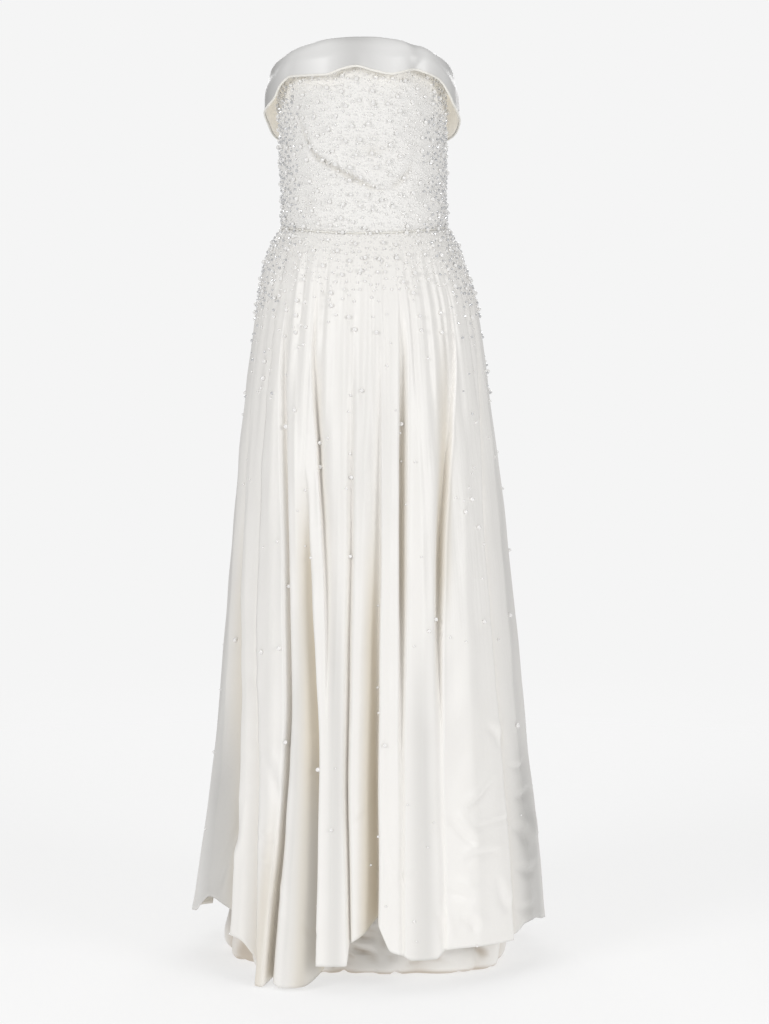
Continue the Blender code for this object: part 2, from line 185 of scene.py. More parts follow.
BodiceSection = namedtuple("BodiceSection", "up side front back lean")
bodice = {
    "sections": rowsOf(
        BodiceSection,
        (0.0, 0.1225, 0.095, 0.094, 0.0), (0.016, 0.1256, 0.0985, 0.096, 0.0002),
        (0.05, 0.1234, 0.0985, 0.0945, 0.001), (0.095, 0.1252, 0.106, 0.095, 0.0018),
        (0.135, 0.1254, 0.114, 0.096, 0.0024), (0.175, 0.1262, 0.118, 0.097, 0.0032),
        (0.215, 0.1272, 0.115, 0.098, 0.0038), (0.25, 0.127, 0.109, 0.098, 0.004),
        (0.28, 0.126, 0.105, 0.098, 0.004),
    ),
    "panels": {             # from one turn to another, with this many columns
        "bodice_back_right": (-180, -90, 70),
        "bodice_front": (-90, 90, 150),
        "bodice_back_left": (90, 180, 70),
    },
    "rows": 62,
    "frontCreases": rowsOf(
        Crease,
        (0.0046, 0.0056, 0.0036, (
            (-0.1004, 0.1826), (-0.0754, 0.118), (-0.0517, 0.1018), (-0.0192, 0.0841), (0.0134, 0.0679),
            (0.0342, 0.0635))),
        (0.006, 0.002, 0.0012, ((0.0209, 0.0517), (0.0475, 0.0723), (0.0668, 0.0915), (0.0801, 0.1371))),
        (0.014, 0.0014, 0.0008, ((-0.0354, 0.118), (0.0312, 0.1253), (0.0964, 0.1474))),
        (0.01, 0.001, 0.0006, ((-0.095, 0.06), (-0.07, 0.045), (-0.04, 0.04))),
        (0.009, 0.001, 0.0006, ((0.105, 0.075), (0.08, 0.05), (0.055, 0.04))),
    ),
    "backCreases": rowsOf(
        Crease,
        (0.008, 0.002, 0.001, ((-0.1, 0.125), (-0.07, 0.085), (-0.03, 0.065))),
        (0.007, 0.0016, 0.0008, ((0.095, 0.11), (0.06, 0.08), (0.02, 0.055))),
        (0.012, 0.0012, 0.0008, ((-0.08, 0.04), (-0.045, 0.034), (-0.012, 0.045))),
        (0.011, 0.0012, 0.0006, ((0.085, 0.035), (0.05, 0.03), (0.014, 0.038))),
    ),
    "seamDitch": 0.0007,
    "crumple": 0.0005,
    "planRadius": 0.122,    # its cut is laid out round this radius
    "bareTop": 0.016,       # no beads from here to the collar's top edge
    "shadeDepth": 0.035,    # painted shadow of the collar: down to this depth, fading over as much again
    "shade": 0.35,
}


def bodiceOutline(turn, up, out=0.0):
    side, front, back, lean = [
        readColumn(bodice["sections"], "up", name, up) for name in BodiceSection._fields[1:]]
    x, y = ovalPoint(turn, side + out, side + out, front + out, back + out)
    return x - lean, y


def pushedOut(x, y, relief):
    scale = 1 + relief / np.hypot(x, y)
    return x * scale, y * scale


def bodiceGrid(first, last, columns):
    trim = math.degrees(dress["seamGap"] / 2 / bodice["sections"][0].side)
    turn = np.linspace(first + trim, last - trim, columns)[:, None]
    share = np.linspace(0, 1, bodice["rows"])[None, :]
    bottom = waistHeight(turn) + dress["seamGap"] / 2
    top = readColumn(collar["places"], "turn", "top", turn) - collar["turnHeight"]
    z = top + (bottom - top) * share
    turn = np.broadcast_to(turn, z.shape)
    up = z - waistHeight(turn)
    x, y = bodiceOutline(turn, up)
    around = np.radians(turn) * bodice["planRadius"]
    relief = creaseRelief(x, y, z, bodice)
    relief += crumple(around, z, 0.05, bodice["crumple"], 11)
    for seam in (-180, -90, 90, 180):
        away = around - math.radians(seam) * bodice["planRadius"]
        relief += puckerRelief(away, z, 0.006, bodice["seamDitch"], 0.02, 5)
    relief *= ease(up / 0.004) * ease((top - z) / 0.004)
    x, y = pushedOut(x, y, relief)
    return np.stack([x, y, z], axis=2), around, z, relief


# Collar: a wide band sewn to the top of the bodice and turned down over it

CollarPlace = namedtuple("CollarPlace", "turn top edge stand")
CollarDent = namedtuple("CollarDent", "turn width depth lean")
CollarPaintedShade = namedtuple("CollarPaintedShade", "turn width depth")
collar = {
    "places": rowsOf(
        CollarPlace,
        (-180, 0.196, 0.14, 0.019), (-150, 0.201, 0.137, 0.022), (-118, 0.215, 0.144, 0.021),
        (-104, 0.2245, 0.16, 0.0215), (-90, 0.234, 0.179, 0.0215), (-77, 0.247, 0.187, 0.0215),
        (-65, 0.2575, 0.2, 0.0205), (-56, 0.264, 0.221, 0.018), (-47, 0.272, 0.232, 0.0165),
        (-33, 0.2795, 0.2325, 0.0175), (-21, 0.2855, 0.233, 0.0185), (-12, 0.287, 0.241, 0.0155),
        (-3, 0.288, 0.2455, 0.014), (7, 0.288, 0.239, 0.0165), (18, 0.286, 0.234, 0.019),
        (27, 0.283, 0.2385, 0.0165), (34, 0.278, 0.2415, 0.0145), (43, 0.275, 0.236, 0.0165),
        (54, 0.2655, 0.227, 0.0185), (62, 0.26, 0.208, 0.02), (70, 0.2535, 0.19, 0.021),
        (80, 0.2445, 0.18, 0.0215), (90, 0.234, 0.171, 0.022), (104, 0.2245, 0.151, 0.0195),
        (118, 0.215, 0.1415, 0.019), (150, 0.201, 0.137, 0.022), (180, 0.196, 0.14, 0.019),
    ),
    "turnHeight": 0.0125,   # the collar stands this much over the bodice edge that it is sewn to
    "roll": 0.0135,         # width of the soft roll along its top
    "cloth": 0.0018,
    "columns": 300,
    "rows": 34,
    "dents": rowsOf(
        CollarDent,
        (-66, 7, 0.0022, 5), (-46, 4, 0.001, -6), (-4, 7, 0.002, 2), (30, 4, 0.0014, 7),
        (40, 3, 0.0016, -8), (57, 5, 0.0018, -6), (80, 8, 0.0016, 4), (112, 8, 0.0024, 6),
        (146, 6, 0.002, -8), (-98, 7, 0.0018, -5), (-128, 7, 0.0022, 7), (-158, 6, 0.0016, -4),
    ),
    "paintedGreyShades": rowsOf(    # painted shade: where the satin is painted darker between the places that catch the light
        CollarPaintedShade,
        (-180, 40, 0.35), (-92, 34, 1.1), (-4, 14, 0.5), (97, 34, 0.95), (180, 40, 0.35), (34, 4, 0.3),
    ),
    # painted shade along the fall just under the top roll, over this share of it
    "topPaintedShade": 0.27,
    "topShare": 0.3,
    "planRadius": 0.14,
    "planWidth": 0.08,
    "piping": 0.0016,       # radius of the narrow cream roll on the free edge
}


def collarGrid():
    trim = math.degrees(dress["seamGap"] / bodice["sections"][0].side)
    turns = np.linspace(-180 + trim, 180 - trim, collar["columns"])
    roll = collar["roll"]
    grid = np.zeros((len(turns), collar["rows"], 3))
    fallen = np.zeros(grid.shape[:2])
    for number, turn in enumerate(turns):
        top, edge, stand = [
            float(readColumn(collar["places"], "turn", name, turn)) for name in ("top", "edge", "stand")]
        bulge = 0.55 * stand + 0.45 * roll + 0.002
        out = np.array([stand, bulge, roll, 0.92 * roll, 0.55 * roll, 0.12 * roll, 0.0])
        fall = top - edge
        seam = collar["turnHeight"] - dress["seamGap"]
        down = np.array([fall, 0.55 * fall, 0.22 * fall, 0.004, 0.0, 0.0045, seam])
        length = np.concatenate([[0], np.cumsum(np.hypot(np.diff(out), np.diff(down)))])
        at = np.linspace(0, length[-1], collar["rows"])
        out = throughPoints(length, out, at)
        z = top - throughPoints(length, down, at)
        fallShare = np.clip((top - z) / fall, 0, 1) * (at < length[4])
        for dent in collar["dents"]:
            away = turn - dent.turn - dent.lean * (fallShare - 0.5)
            out -= dent.depth * bell(away, dent.width) * ease(fallShare / 0.7)
        x, y = bodiceOutline(turn, z - waistHeight(turn), out)
        grid[number] = np.stack([x, y, z], axis=1)
        fallen[number] = fallShare
    around = np.broadcast_to(np.radians(turns)[:, None] * collar["planRadius"], fallen.shape)
    along = np.broadcast_to(np.linspace(0, collar["planWidth"], collar["rows"]), fallen.shape)
    # painted shade: the collar is painted darker at the listed places between its highlights and just under
    # its top roll
    shade = np.zeros_like(turns)
    for grey in collar["paintedGreyShades"]:
        shade += grey.depth * bell(turns - grey.turn, grey.width)
    shade = np.clip(shade[:, None] + collar["topPaintedShade"] * (1 - ease(fallen / collar["topShare"])), 0, 1)
    return grid[:, ::-1], around, along, shade[:, ::-1]


# Skirt and the layer under it

SkirtSection = namedtuple("SkirtSection", "below right left front back square")
# A valley has its turns, where it starts and how far it sinks, its spread to each side, how it opens
# up and down, the power of its open side, how far it slides under, and the side that is tucked:
# -1, 1, or 2 for both.
Valley = namedtuple("Valley", (
    "name high middle lower low start deepUpper deepMiddle deepLower deepLow "
    "right left flare close slope lean crisp"))
Crest = namedtuple("Crest", "high middle lower low start height width")
Tint = namedtuple("Tint", "tone name high middle lower low start right left strength")
HemPlace = namedtuple("HemPlace", "turn height")
Pucker = namedtuple("Pucker", "turn lift width")
skirt = {
    "sections": rowsOf(
        SkirtSection,
        (0.0, 0.1225, 0.1225, 0.095, 0.094, 2.0), (0.01, 0.131, 0.131, 0.101, 0.101, 2.0),
        (0.03, 0.143, 0.143, 0.112, 0.115, 2.0), (0.06, 0.153, 0.1535, 0.123, 0.13, 2.0),
        (0.12, 0.164, 0.172, 0.137, 0.148, 2.0), (0.3, 0.187, 0.196, 0.163, 0.183, 2.0),
        (0.55, 0.207, 0.225, 0.195, 0.226, 2.0), (0.8, 0.23, 0.25, 0.226, 0.268, 2.0),
        (0.94, 0.249, 0.267, 0.243, 0.29, 2.0), (1.11, 0.274, 0.282, 0.262, 0.315, 2.0),
    ),
    "folds": rowsOf(
        Valley,
        ("centre back seam", -180, -180, -180, -180,
         0.02, 0.002, 0.003, 0.004, 0.006, 2.5, 2.5, 1, 1, 1.3, 0.0, 0),
        ("right back inner", -163, -161, -160, -160,
         0.12, 0.016, 0.024, 0.04, 0.052, 3.8, 1.4, 0.8, 1, 1.3, 3.0, 1),
        ("right back", -142, -140, -139, -139,
         0.15, 0.016, 0.026, 0.038, 0.048, 1.4, 4.2, 0.8, 1, 1.3, -1.5, -1),
        ("right back outer", -122, -119, -118, -118,
         0.1, 0.014, 0.022, 0.042, 0.055, 4.0, 1.4, 0.8, 1, 1.3, 4.0, 1),
        ("right behind side", -100, -99, -100, -100,
         0.16, 0.008, 0.014, 0.02, 0.024, 4.0, 4.0, 1, 1, 1.3, 0.0, 0),
        ("right side", -72, -66.4, -55.4, -51.2,
         0.25, 0.004, 0.009, 0.028, 0.046, 6.5, 1.5, 0.7, 1.3, 1.5, 2.5, 1),
        ("right seam", -54, -52.8, -44.4, -37.6,
         0.02, 0.001, 0.003, 0.01, 0.028, 3.6, 1.1, 0.5, 1, 1.4, 1.2, 1),
        ("right front", -45.2, -34.4, -30.2, -31.6,
         0.1, 0.013, 0.018, 0.02, 0.028, 0.8, 1.1, 2.8, 1.6, 2.2, -2.2, -1),
        ("right square", -30.8, -24.0, -18.2, -16.7,
         0.36, 0.001, 0.008, 0.024, 0.032, 4.2, 1.0, 1, 0.8, 2.0, 2.4, 1),
        ("right diagonal", -26.2, -15.9, -12.5, -10.3,
         0.05, 0.015, 0.011, 0.0006, 0.0004, 0.9, 3.0, 1, 0.8, 1.3, -1.6, -1),
        ("beside centre", -5.9, -5.7, -6.3, -4.3,
         0.2, 0.006, 0.012, 0.016, 0.012, 1.5, 1.1, 1.5, 0.4, 1.5, 0.0, 0),
        ("centre", 7.0, 5.2, 3.6, 2.6,
         0.14, 0.008, 0.018, 0.032, 0.04, 3.8, 1.0, 0.35, 1, 1.5, 2.2, 1),
        ("left of centre", 19.4, 15.3, 13.3, 11.6,
         0.1, 0.017, 0.018, 0.005, 0.003, 1.3, 1.0, 1.5, 0.6, 2.2, 0.2, 2),
        ("left front", 49.1, 31.6, 27.1, 25.0,
         0.06, 0.012, 0.018, 0.002, 0.003, 2.2, 0.8, 4.2, 0.5, 2.2, 1.4, 1),
        ("left seam", 71.0, 58.0, 57.9, 55.3,
         0.08, 0.009, 0.007, 0.01, 0.014, 1.2, 3.0, 1, 1, 1.5, -0.5, -1),
        ("left behind side", 99, 97, 97, 97,
         0.14, 0.014, 0.022, 0.034, 0.042, 1.8, 3.8, 0.8, 1, 1.3, -2.0, -1),
        ("left back outer", 121, 119, 118, 118,
         0.12, 0.016, 0.026, 0.042, 0.056, 3.8, 1.4, 0.8, 1, 1.3, 1.5, 1),
        ("left back", 141, 140, 140, 140,
         0.15, 0.014, 0.022, 0.036, 0.046, 1.4, 4.0, 0.8, 1, 1.3, -3.5, -1),
        ("left back inner", 162, 161, 162, 162,
         0.1, 0.016, 0.026, 0.042, 0.054, 3.6, 1.4, 0.8, 1, 1.3, 1.0, 1),
        ("centre back seam", 180, 180, 180, 180,
         0.02, 0.002, 0.003, 0.004, 0.006, 2.5, 2.5, 1, 1, 1.3, 0.0, 0),
    ),
    "crests": rowsOf(
        Crest,
        (-66, -60, -50, -44, 0.2, 0.0034, 4.0), (-49, -43, -36.5, -34.3, 0.1, 0.004, 4.5),
        (-82, -78, -70, -66, 0.3, 0.003, 4.5), (-36, -29, -24.5, -25, 0.1, 0.003, 2.6),
        (-10, -10.5, -11.5, -10.3, 0.1, 0.0024, 3.0), (1, -1.2, -2.5, -2.4, 0.1, 0.003, 1.8),
        (13, 9.8, 8.2, 7.0, 0.1, 0.0026, 2.2), (25, 23, 20, 18.5, 0.12, 0.0034, 3.6),
        (57, 43, 40, 38, 0.2, 0.0032, 7.0), (80, 70, 68, 66, 0.2, 0.0028, 4.0),
        (88, 84, 83, 82, 0.2, 0.0034, 5.0), (109, 108, 108, 108, 0.18, 0.004, 5.0),
        (131, 130, 129, 129, 0.2, 0.0034, 4.5), (152, 150, 151, 151, 0.18, 0.004, 5.0),
        (-89, -88, -86, -84, 0.24, 0.0026, 4.0), (-110, -109, -109, -109, 0.2, 0.0036, 5.0),
        (-131, -130, -129, -129, 0.2, 0.0036, 4.5), (-152, -151, -150, -150, 0.18, 0.004, 5.0),
        (-171, -170, -170, -170, 0.26, 0.0024, 4.0), (171, 170, 170, 170, 0.26, 0.0024, 4.0),
    ),
    # Painted shade: tones painted on facets that turn away from the lamps, warm in the folds and grey at the
    # sides; each row is named after its tone.
    "paintedShadeRows": rowsOf(
        Tint,
        ("warm", "brown facet", -30.0, -24.0, -19.6, -18.4, 0.34, 4.2, 1.3, 1.1),
        ("warm", "right front fold", -50.0, -38.0, -33.6, -35.0, 0.8, 3.2, 2.6, 0.6),
        ("warm", "olive facet", -72, -68, -60, -54, 0.4, 7.0, 4.5, 0.4),
        ("warm", "open fold", 43.0, 34.0, 28.0, 25.0, 0.1, 5.0, 2.2, 0.45),
        ("warm", "brown channel", 19.4, 15.3, 13.3, 11.6, 0.16, 1.8, 1.8, 0.35),
        ("warm", "inner fold", 5.0, 3.0, 1.6, 0.6, 0.4, 2.8, 1.6, 0.6),
        ("grey", "front middle", 0, 0, 0, 0, 0.06, 14.0, 14.0, 0.18),
        ("grey", "left side", 84, 78, 74, 72, 0.3, 12.0, 12.0, 0.35),
        ("grey", "left side hem", 76, 74, 70, 67, 0.72, 7.5, 15.0, 0.8),
        ("grey", "right side edge", -96, -90, -84, -80, 0.3, 12.0, 12.0, 0.45),
        ("grey", "right side hem", -72, -70, -66, -62, 0.66, 11.0, 7.0, 0.8),
        ("grey", "light fold", -14, -11.4, -10, -9, 0.45, 3.0, 2.4, 0.45),
        ("grey", "left middle panel", 27, 22, 20, 18.5, 0.55, 4.2, 3.6, 0.48),
        ("grey", "brown facet hem", -24, -22, -20, -18.8, 0.72, 3.0, 1.6, 0.75),
        ("grey", "right front panel edge", -30, -27, -25.2, -24, 0.45, 2.4, 1.8, 0.3),
    ),
    "paintedShadeEnds": {"open fold": 0.62, "brown channel": 0.62, "front middle": 0.50},
    "hem": rowsOf(
        HemPlace,
        (-180, -1.076), (-139, -1.068), (-118, -1.058), (-100, -1.046), (-90, -1.041), (-80, -1.036),
        (-72, -1.017), (-65, -1.001), (-59, -1.012), (-50, -1.042), (-44, -1.048), (-40.5, -1.07),
        (-37.5, -1.108), (-33, -1.11), (-31, -1.101), (-27, -1.108), (-20.5, -1.106), (-17, -1.085),
        (-15, -1.072), (-5.6, -1.071), (-4.4, -1.04), (-1, -1.028), (3.0, -1.008), (8, -1.05),
        (11.2, -1.056), (15, -1.064), (22, -1.064), (26, -1.052), (55, -1.056), (57.5, -1.05),
        (61, -1.038), (67, -1.036), (77, -1.045), (97, -1.056), (118, -1.062), (140, -1.068),
        (180, -1.076),
    ),
    "cuts": {
        "skirt_back_right": ("centre back seam", "right seam"),
        "skirt_front": ("right seam", "left seam"),
        "skirt_back_left": ("left seam", "centre back seam"),
    },
    "rows": 148,
    "rowPlaces": (0.0, 0.04, 0.42, 1.0),    # rows lie closer at the waist and where the cloth creases
    "rowShares": (0.0, 0.02, 0.60, 1.0),
    "frontStep": 0.50,      # degrees between columns
    "backStep": 0.80,
    "frontEnds": 78,        # the turn from which the step is the back's
    "hemBand": 0.014,       # depth of the turned hem
    "hemStep": 0.0004,
    "crumple": 0.0007,
    "planRadius": 0.22,
    "shadeDepth": 0.034,    # a valley this deep gets the full painted shade
    "gathers": {            # each number is drawn between two; "hips" is a turn and how far round it they fade
        "seed": 7, "apart": (1.6, 6.0), "width": (0.8, 2.6), "depth": (0.0008, 0.0030), "end": (0.12, 0.50),
        "drift": (-6, 6), "hips": (88, 26),
    },
    "frontCreases": rowsOf(
        Crease,
        (0.0036, 0.003, 0.0021, ((0.1598, -0.8786), (0.1892, -0.8768), (0.2185, -0.8749))),
        (0.0063, 0.0034, 0.0019, ((0.1267, -0.8619), (0.1451, -0.8842), (0.1635, -0.9029))),
        (0.0054, 0.0038, 0.0023, ((0.1524, -0.8507), (0.1743, -0.8358), (0.1963, -0.8135))),
        (0.0054, 0.0027, 0.0019, ((0.1452, -0.9271), (0.1709, -0.9178), (0.204, -0.9215))),
        (0.0072, 0.003, 0.0019, ((0.1195, -0.9626), (0.1453, -0.9739), (0.1638, -0.9851))),
        (0.0063, 0.0034, 0.0019, ((0.1417, -1.0076), (0.1602, -1.0188), (0.1676, -1.0338))),
        (0.0054, 0.0027, 0.0019, ((0.1813, -0.7319), (0.196, -0.7467), (0.2034, -0.7689))),
        (0.0063, 0.003, 0.0019, (
            (-0.1519, -0.7652), (-0.1337, -0.7986), (-0.1247, -0.8432), (-0.1377, -0.8842))),
        (0.0054, 0.0027, 0.0019, ((-0.1598, -0.8879), (-0.1415, -0.8991), (-0.123, -0.8842))),
        (0.0045, 0.0019, 0.0015, ((-0.1599, -0.9253), (-0.1453, -0.9327), (-0.1305, -0.9253))),
        (0.0045, 0.0019, 0.0015, ((-0.0165, -0.8656), (0.0019, -0.8507), (0.0092, -0.847))),
        (0.0045, 0.0027, 0.0019, ((0.2145, -0.7986), (0.2329, -0.8061), (0.2439, -0.7986))),
        (0.0072, 0.0049, 0.0027, ((0.2223, -0.8879), (0.2407, -0.9066), (0.2445, -0.9253))),
        (0.0072, 0.0042, 0.0023, ((0.2262, -0.9477), (0.2446, -0.9626), (0.2594, -0.9664))),
        (0.006, 0.005, 0.0024, ((-0.189, -0.845), (-0.1905, -0.89), (-0.203, -0.925), (-0.212, -0.95))),
        (0.007, 0.0044, 0.0024, ((-0.208, -0.94), (-0.218, -0.97), (-0.224, -0.995))),
        (0.006, 0.0034, 0.002, ((0.199, -0.956), (0.206, -0.989), (0.219, -1.012))),
        (0.007, 0.0036, 0.002, ((0.225, -0.845), (0.238, -0.85), (0.252, -0.842))),
        (0.006, 0.003, 0.0018, ((0.229, -1.008), (0.242, -1.018), (0.26, -1.013))),
        (0.006, 0.0026, 0.0018, ((0.105, -0.99), (0.116, -1.016), (0.12, -1.042))),
        (0.0055, 0.0026, 0.0016, ((0.05, -0.938), (0.064, -0.943), (0.079, -0.939))),
        (0.006, 0.003, 0.0018, ((-0.09, -1.016), (-0.078, -1.028), (-0.064, -1.024))),
        (0.005, 0.0026, 0.0016, ((-0.136, -0.956), (-0.128, -0.98), (-0.133, -1.008))),
        (0.006, 0.0028, 0.0016, ((0.028, -0.905), (0.035, -0.933), (0.033, -0.962))),
    ),
    "backCreases": rowsOf(
        Crease,
        (0.0063, 0.0034, 0.0023, ((-0.18, -0.86), (-0.15, -0.885), (-0.13, -0.93))),
        (0.0054, 0.003, 0.0019, ((-0.06, -0.905), (-0.03, -0.89), (-0.01, -0.9))),
        (0.0063, 0.003, 0.0019, ((0.03, -0.82), (0.055, -0.845), (0.07, -0.885))),
        (0.0054, 0.003, 0.0019, ((0.14, -0.93), (0.17, -0.94), (0.195, -0.93))),
    ),
}


def softValley(name, turn, low, start, deepMiddle, deepLow, right, left):
    # a round trough that runs nearly straight down
    deepLower = (deepMiddle + deepLow) / 2
    sinks = (deepMiddle * 0.6, deepMiddle, deepLower, deepLow)
    return Valley(name, turn, turn, (turn + low) / 2, low, start, *sinks, right, left, 1, 1, 1.5, 0.0, 0)


underskirt = {
    "sections": rowsOf(
        SkirtSection,
        (0.0, 0.12, 0.12, 0.0925, 0.0915, 2.0), (0.03, 0.129, 0.129, 0.099, 0.1, 2.0),
        (0.12, 0.141, 0.142, 0.108, 0.116, 2.0), (0.4, 0.164, 0.168, 0.124, 0.146, 2.2),
        (0.8, 0.19, 0.198, 0.14, 0.186, 2.6), (1.06, 0.221, 0.219, 0.155, 0.216, 3.4),
        (1.112, 0.23, 0.222, 0.158, 0.22, 3.6),
    ),
    "folds": rowsOf(
        softValley,
        ("back", -180, -180, 0.2, 0.004, 0.014, 8, 8),
        ("right back inner", -148, -146, 0.2, 0.006, 0.016, 7, 9),
        ("right back outer", -118, -117, 0.3, 0.005, 0.018, 8, 7),
        ("right side", -82, -84, 0.3, 0.006, 0.04, 9, 9),
        ("right front", -57, -58, 0.2, 0.007, 0.026, 9, 8),
        ("right middle", -33, -31, 0.3, 0.004, 0.012, 6, 6), ("front", -9, -6, 0.3, 0.004, 0.014, 5, 6),
        ("left middle", 14, 15, 0.3, 0.004, 0.01, 6, 5), ("left front", 41, 44, 0.3, 0.005, 0.008, 6, 7),
        ("left side", 78, 76, 0.3, 0.004, 0.012, 8, 7),
        ("left back outer", 112, 113, 0.2, 0.005, 0.018, 7, 8),
        ("left back inner", 146, 144, 0.3, 0.005, 0.016, 8, 7),
        ("back", 180, 180, 0.2, 0.004, 0.014, 8, 8),
    ),
    # how far its edge is turned under: inward and up
    "turnedUnder": [(0.0, 0.030), (0.003, 0.012), (0.010, 0.002), (0.020, 0.0), (0.034, 0.003)],
    "step": 1.0,
    "rows": 74,
    "rowPlaces": (0.0, 0.5, 1.0),
    "rowShares": (0.0, 0.88, 1.0),
    "rollRows": 14,
    "crumple": 0.0016,
    "planRadius": 0.2,
    "shadeDepth": 0.03,
    "puckers": rowsOf(  # where its lower edge is drawn up
        Pucker,
        (-164, 0.003, 3.0), (-131, 0.0026, 2.6), (-96, 0.0034, 3.4), (-66, 0.0026, 2.4),
        (-41, 0.003, 2.8), (-12, 0.003, 1.8), (-5, 0.0038, 1.2), (0.5, 0.003, 0.9), (7, 0.005, 1.0),
        (33, 0.0024, 3.0), (58, 0.0026, 3.2), (95, 0.0032, 3.4), (129, 0.0028, 2.8), (161, 0.003, 3.0),
    ),
    "frontCreases": rowsOf(
        Crease,
        (0.0028, 0.0036, 0.0024, ((0.02, -1.024), (0.004, -1.03), (-0.014, -1.042), (-0.03, -1.058))),
        (0.0026, 0.0032, 0.0022, ((0.014, -1.04), (-0.002, -1.052), (-0.014, -1.074), (-0.026, -1.094))),
        (0.003, 0.004, 0.0026, ((0.012, -1.044), (0.006, -1.062), (-0.004, -1.082), (-0.008, -1.104))),
        (0.003, 0.0034, 0.0024, ((0.018, -1.05), (0.017, -1.068), (0.015, -1.086), (0.018, -1.106))),
        (0.0028, 0.0034, 0.0022, ((0.03, -1.056), (0.037, -1.076), (0.044, -1.092), (0.052, -1.108))),
        (0.004, 0.0028, 0.002, ((0.058, -1.1), (0.082, -1.086), (0.108, -1.078), (0.13, -1.074))),
        (0.003, 0.003, 0.002, ((-0.034, -1.064), (-0.04, -1.082), (-0.052, -1.102))),
        (0.008, 0.003, 0.0018, ((0.09, -1.06), (0.11, -1.085), (0.15, -1.098))),
        (0.007, 0.003, 0.0018, ((0.16, -1.05), (0.172, -1.075), (0.196, -1.092))),
        (0.007, 0.003, 0.0018, ((-0.14, -1.06), (-0.11, -1.08), (-0.075, -1.086))),
        (0.006, 0.0026, 0.0014, ((-0.066, -1.07), (-0.05, -1.085), (-0.046, -1.104))),
    ),
    "backCreases": rowsOf(
        Crease,
        (0.007, 0.003, 0.0018, ((-0.12, -1.05), (-0.085, -1.08), (-0.04, -1.092))),
        (0.007, 0.003, 0.0018, ((0.03, -1.06), (0.07, -1.084), (0.11, -1.08))),
    ),
}


def placeAt(row, below):
    return throughPoints(dress["foldDepths"], [row.high, row.middle, row.lower, row.low], below)


def valleyTurn(valley, below):
    turn = placeAt(valley, below)
    wander = math.sin(valley.low * 1.7)     # each valley wavers in its own way
    sway = 0.18 * np.sin(below * 11 + 3 * wander) + 0.10 * np.sin(below * 27 + 5 * wander)
    fixed = "seam" in valley.name
    return turn if fixed else turn + sway * ease((below - 0.25) / 0.3)


def valleyDepth(valley, below):
    sinks = [0.0, valley.deepUpper, valley.deepMiddle, valley.deepLower, valley.deepLow]
    depth = throughPoints([valley.start, *dress["sinkDepths"]], sinks, below)
    return np.where(below <= valley.start, 0.0, depth)


def aroundFrom(turn, place):
    return (turn - place + 180.0) % 360.0 - 180.0


def foldedOutline(sections, folds, turn, below):
    sunk = np.zeros_like(turn)
    slid = np.zeros_like(turn)
    lips = np.zeros_like(turn)
    high, middle, _, low = dress["foldDepths"]
    for valley in folds[:-1]:
        away = aroundFrom(turn, valleyTurn(valley, below))
        under = (away * valley.crisp > 0) | (valley.crisp == 2)     # tucked in under the next panel
        opened = throughPoints([high, middle, low], [valley.flare, 1.0, valley.close], below)
        opened = np.where(under & (abs(valley.crisp) == 1), 1.0, opened)
        spread = np.where(away < 0, valley.right, valley.left) * opened
        power = np.where(under, dress["tuckPower"], valley.slope)
        share = np.exp(-((np.abs(away) / spread) ** power))
        depth = valleyDepth(valley, below)
        sunk += depth * share
        slid += valley.lean * share * depth / max(valley.deepLow, valley.deepMiddle, valley.deepUpper)
        lips += under * np.clip(depth / 0.03, 0, 1) * bell(np.abs(away) - 2.1 * spread, 0.9 * spread)
    sizes = [readColumn(sections, "below", name, below) for name in SkirtSection._fields[1:]]
    x, y = ovalPoint(turn + slid, *sizes)
    shrink = 1.0 - (sunk - lips * dress["lip"]) / np.hypot(x, y)
    return x * shrink, y * shrink, sunk


def crestRelief(turn, below):
    # between two valleys a panel bends along a soft crest, with a flatter face on each side
    relief = np.zeros_like(turn)
    for crest in skirt["crests"]:
        away = np.abs(aroundFrom(turn, placeAt(crest, below))) / crest.width
        share = ease((below - crest.start) / 0.25)
        relief += crest.height * share * np.exp(-np.sqrt(away * away + 0.012) * 1.25)
    return relief


def paintedShadeFrom(tone, turn, below):
    # painted shade: facets that turn away from the lamps are painted a deeper ivory, warmer in the folds and
    # greyer at the sides
    shade = np.zeros_like(turn)
    for shadeRow in skirt["paintedShadeRows"]:
        if shadeRow.tone != tone:
            continue
        away = aroundFrom(turn, placeAt(shadeRow, below))
        spread = np.where(away < 0, shadeRow.right, shadeRow.left)
        end = skirt["paintedShadeEnds"].get(shadeRow.name, 2.0)
        fade = ease((below - shadeRow.start) / 0.2) * ease((end - below) / 0.15)
        shade += shadeRow.strength * fade * np.exp(-np.abs(away / spread) ** 2.4)
    return shade


def foldColumns(folds, stepAt):
    columns = []
    for panel in range(len(folds) - 1):
        width = folds[panel + 1].low - folds[panel].low
        widest = max(width, 0.75 * (folds[panel + 1].high - folds[panel].high))
        count = max(8, int(round(widest / stepAt(folds[panel].low + width / 2))))
        even = np.arange(count) / count
        columns += [(panel, share) for share in 0.3 * even + 0.35 * (1 - np.cos(np.pi * even))]
    return columns + [(len(folds) - 2, 1.0)]


def columnTurns(folds, columns, below):
    # below is (columns, rows); every column runs down along the folds beside it
    turns = np.zeros_like(below)
    for panel in range(len(folds) - 1):
        inside = [number for number, column in enumerate(columns) if column[0] == panel]
        share = np.array([columns[number][1] for number in inside])[:, None]
        first = valleyTurn(folds[panel], below[inside])
        last = valleyTurn(folds[panel + 1], below[inside])
        turns[inside] = first + (last - first) * share
    return turns


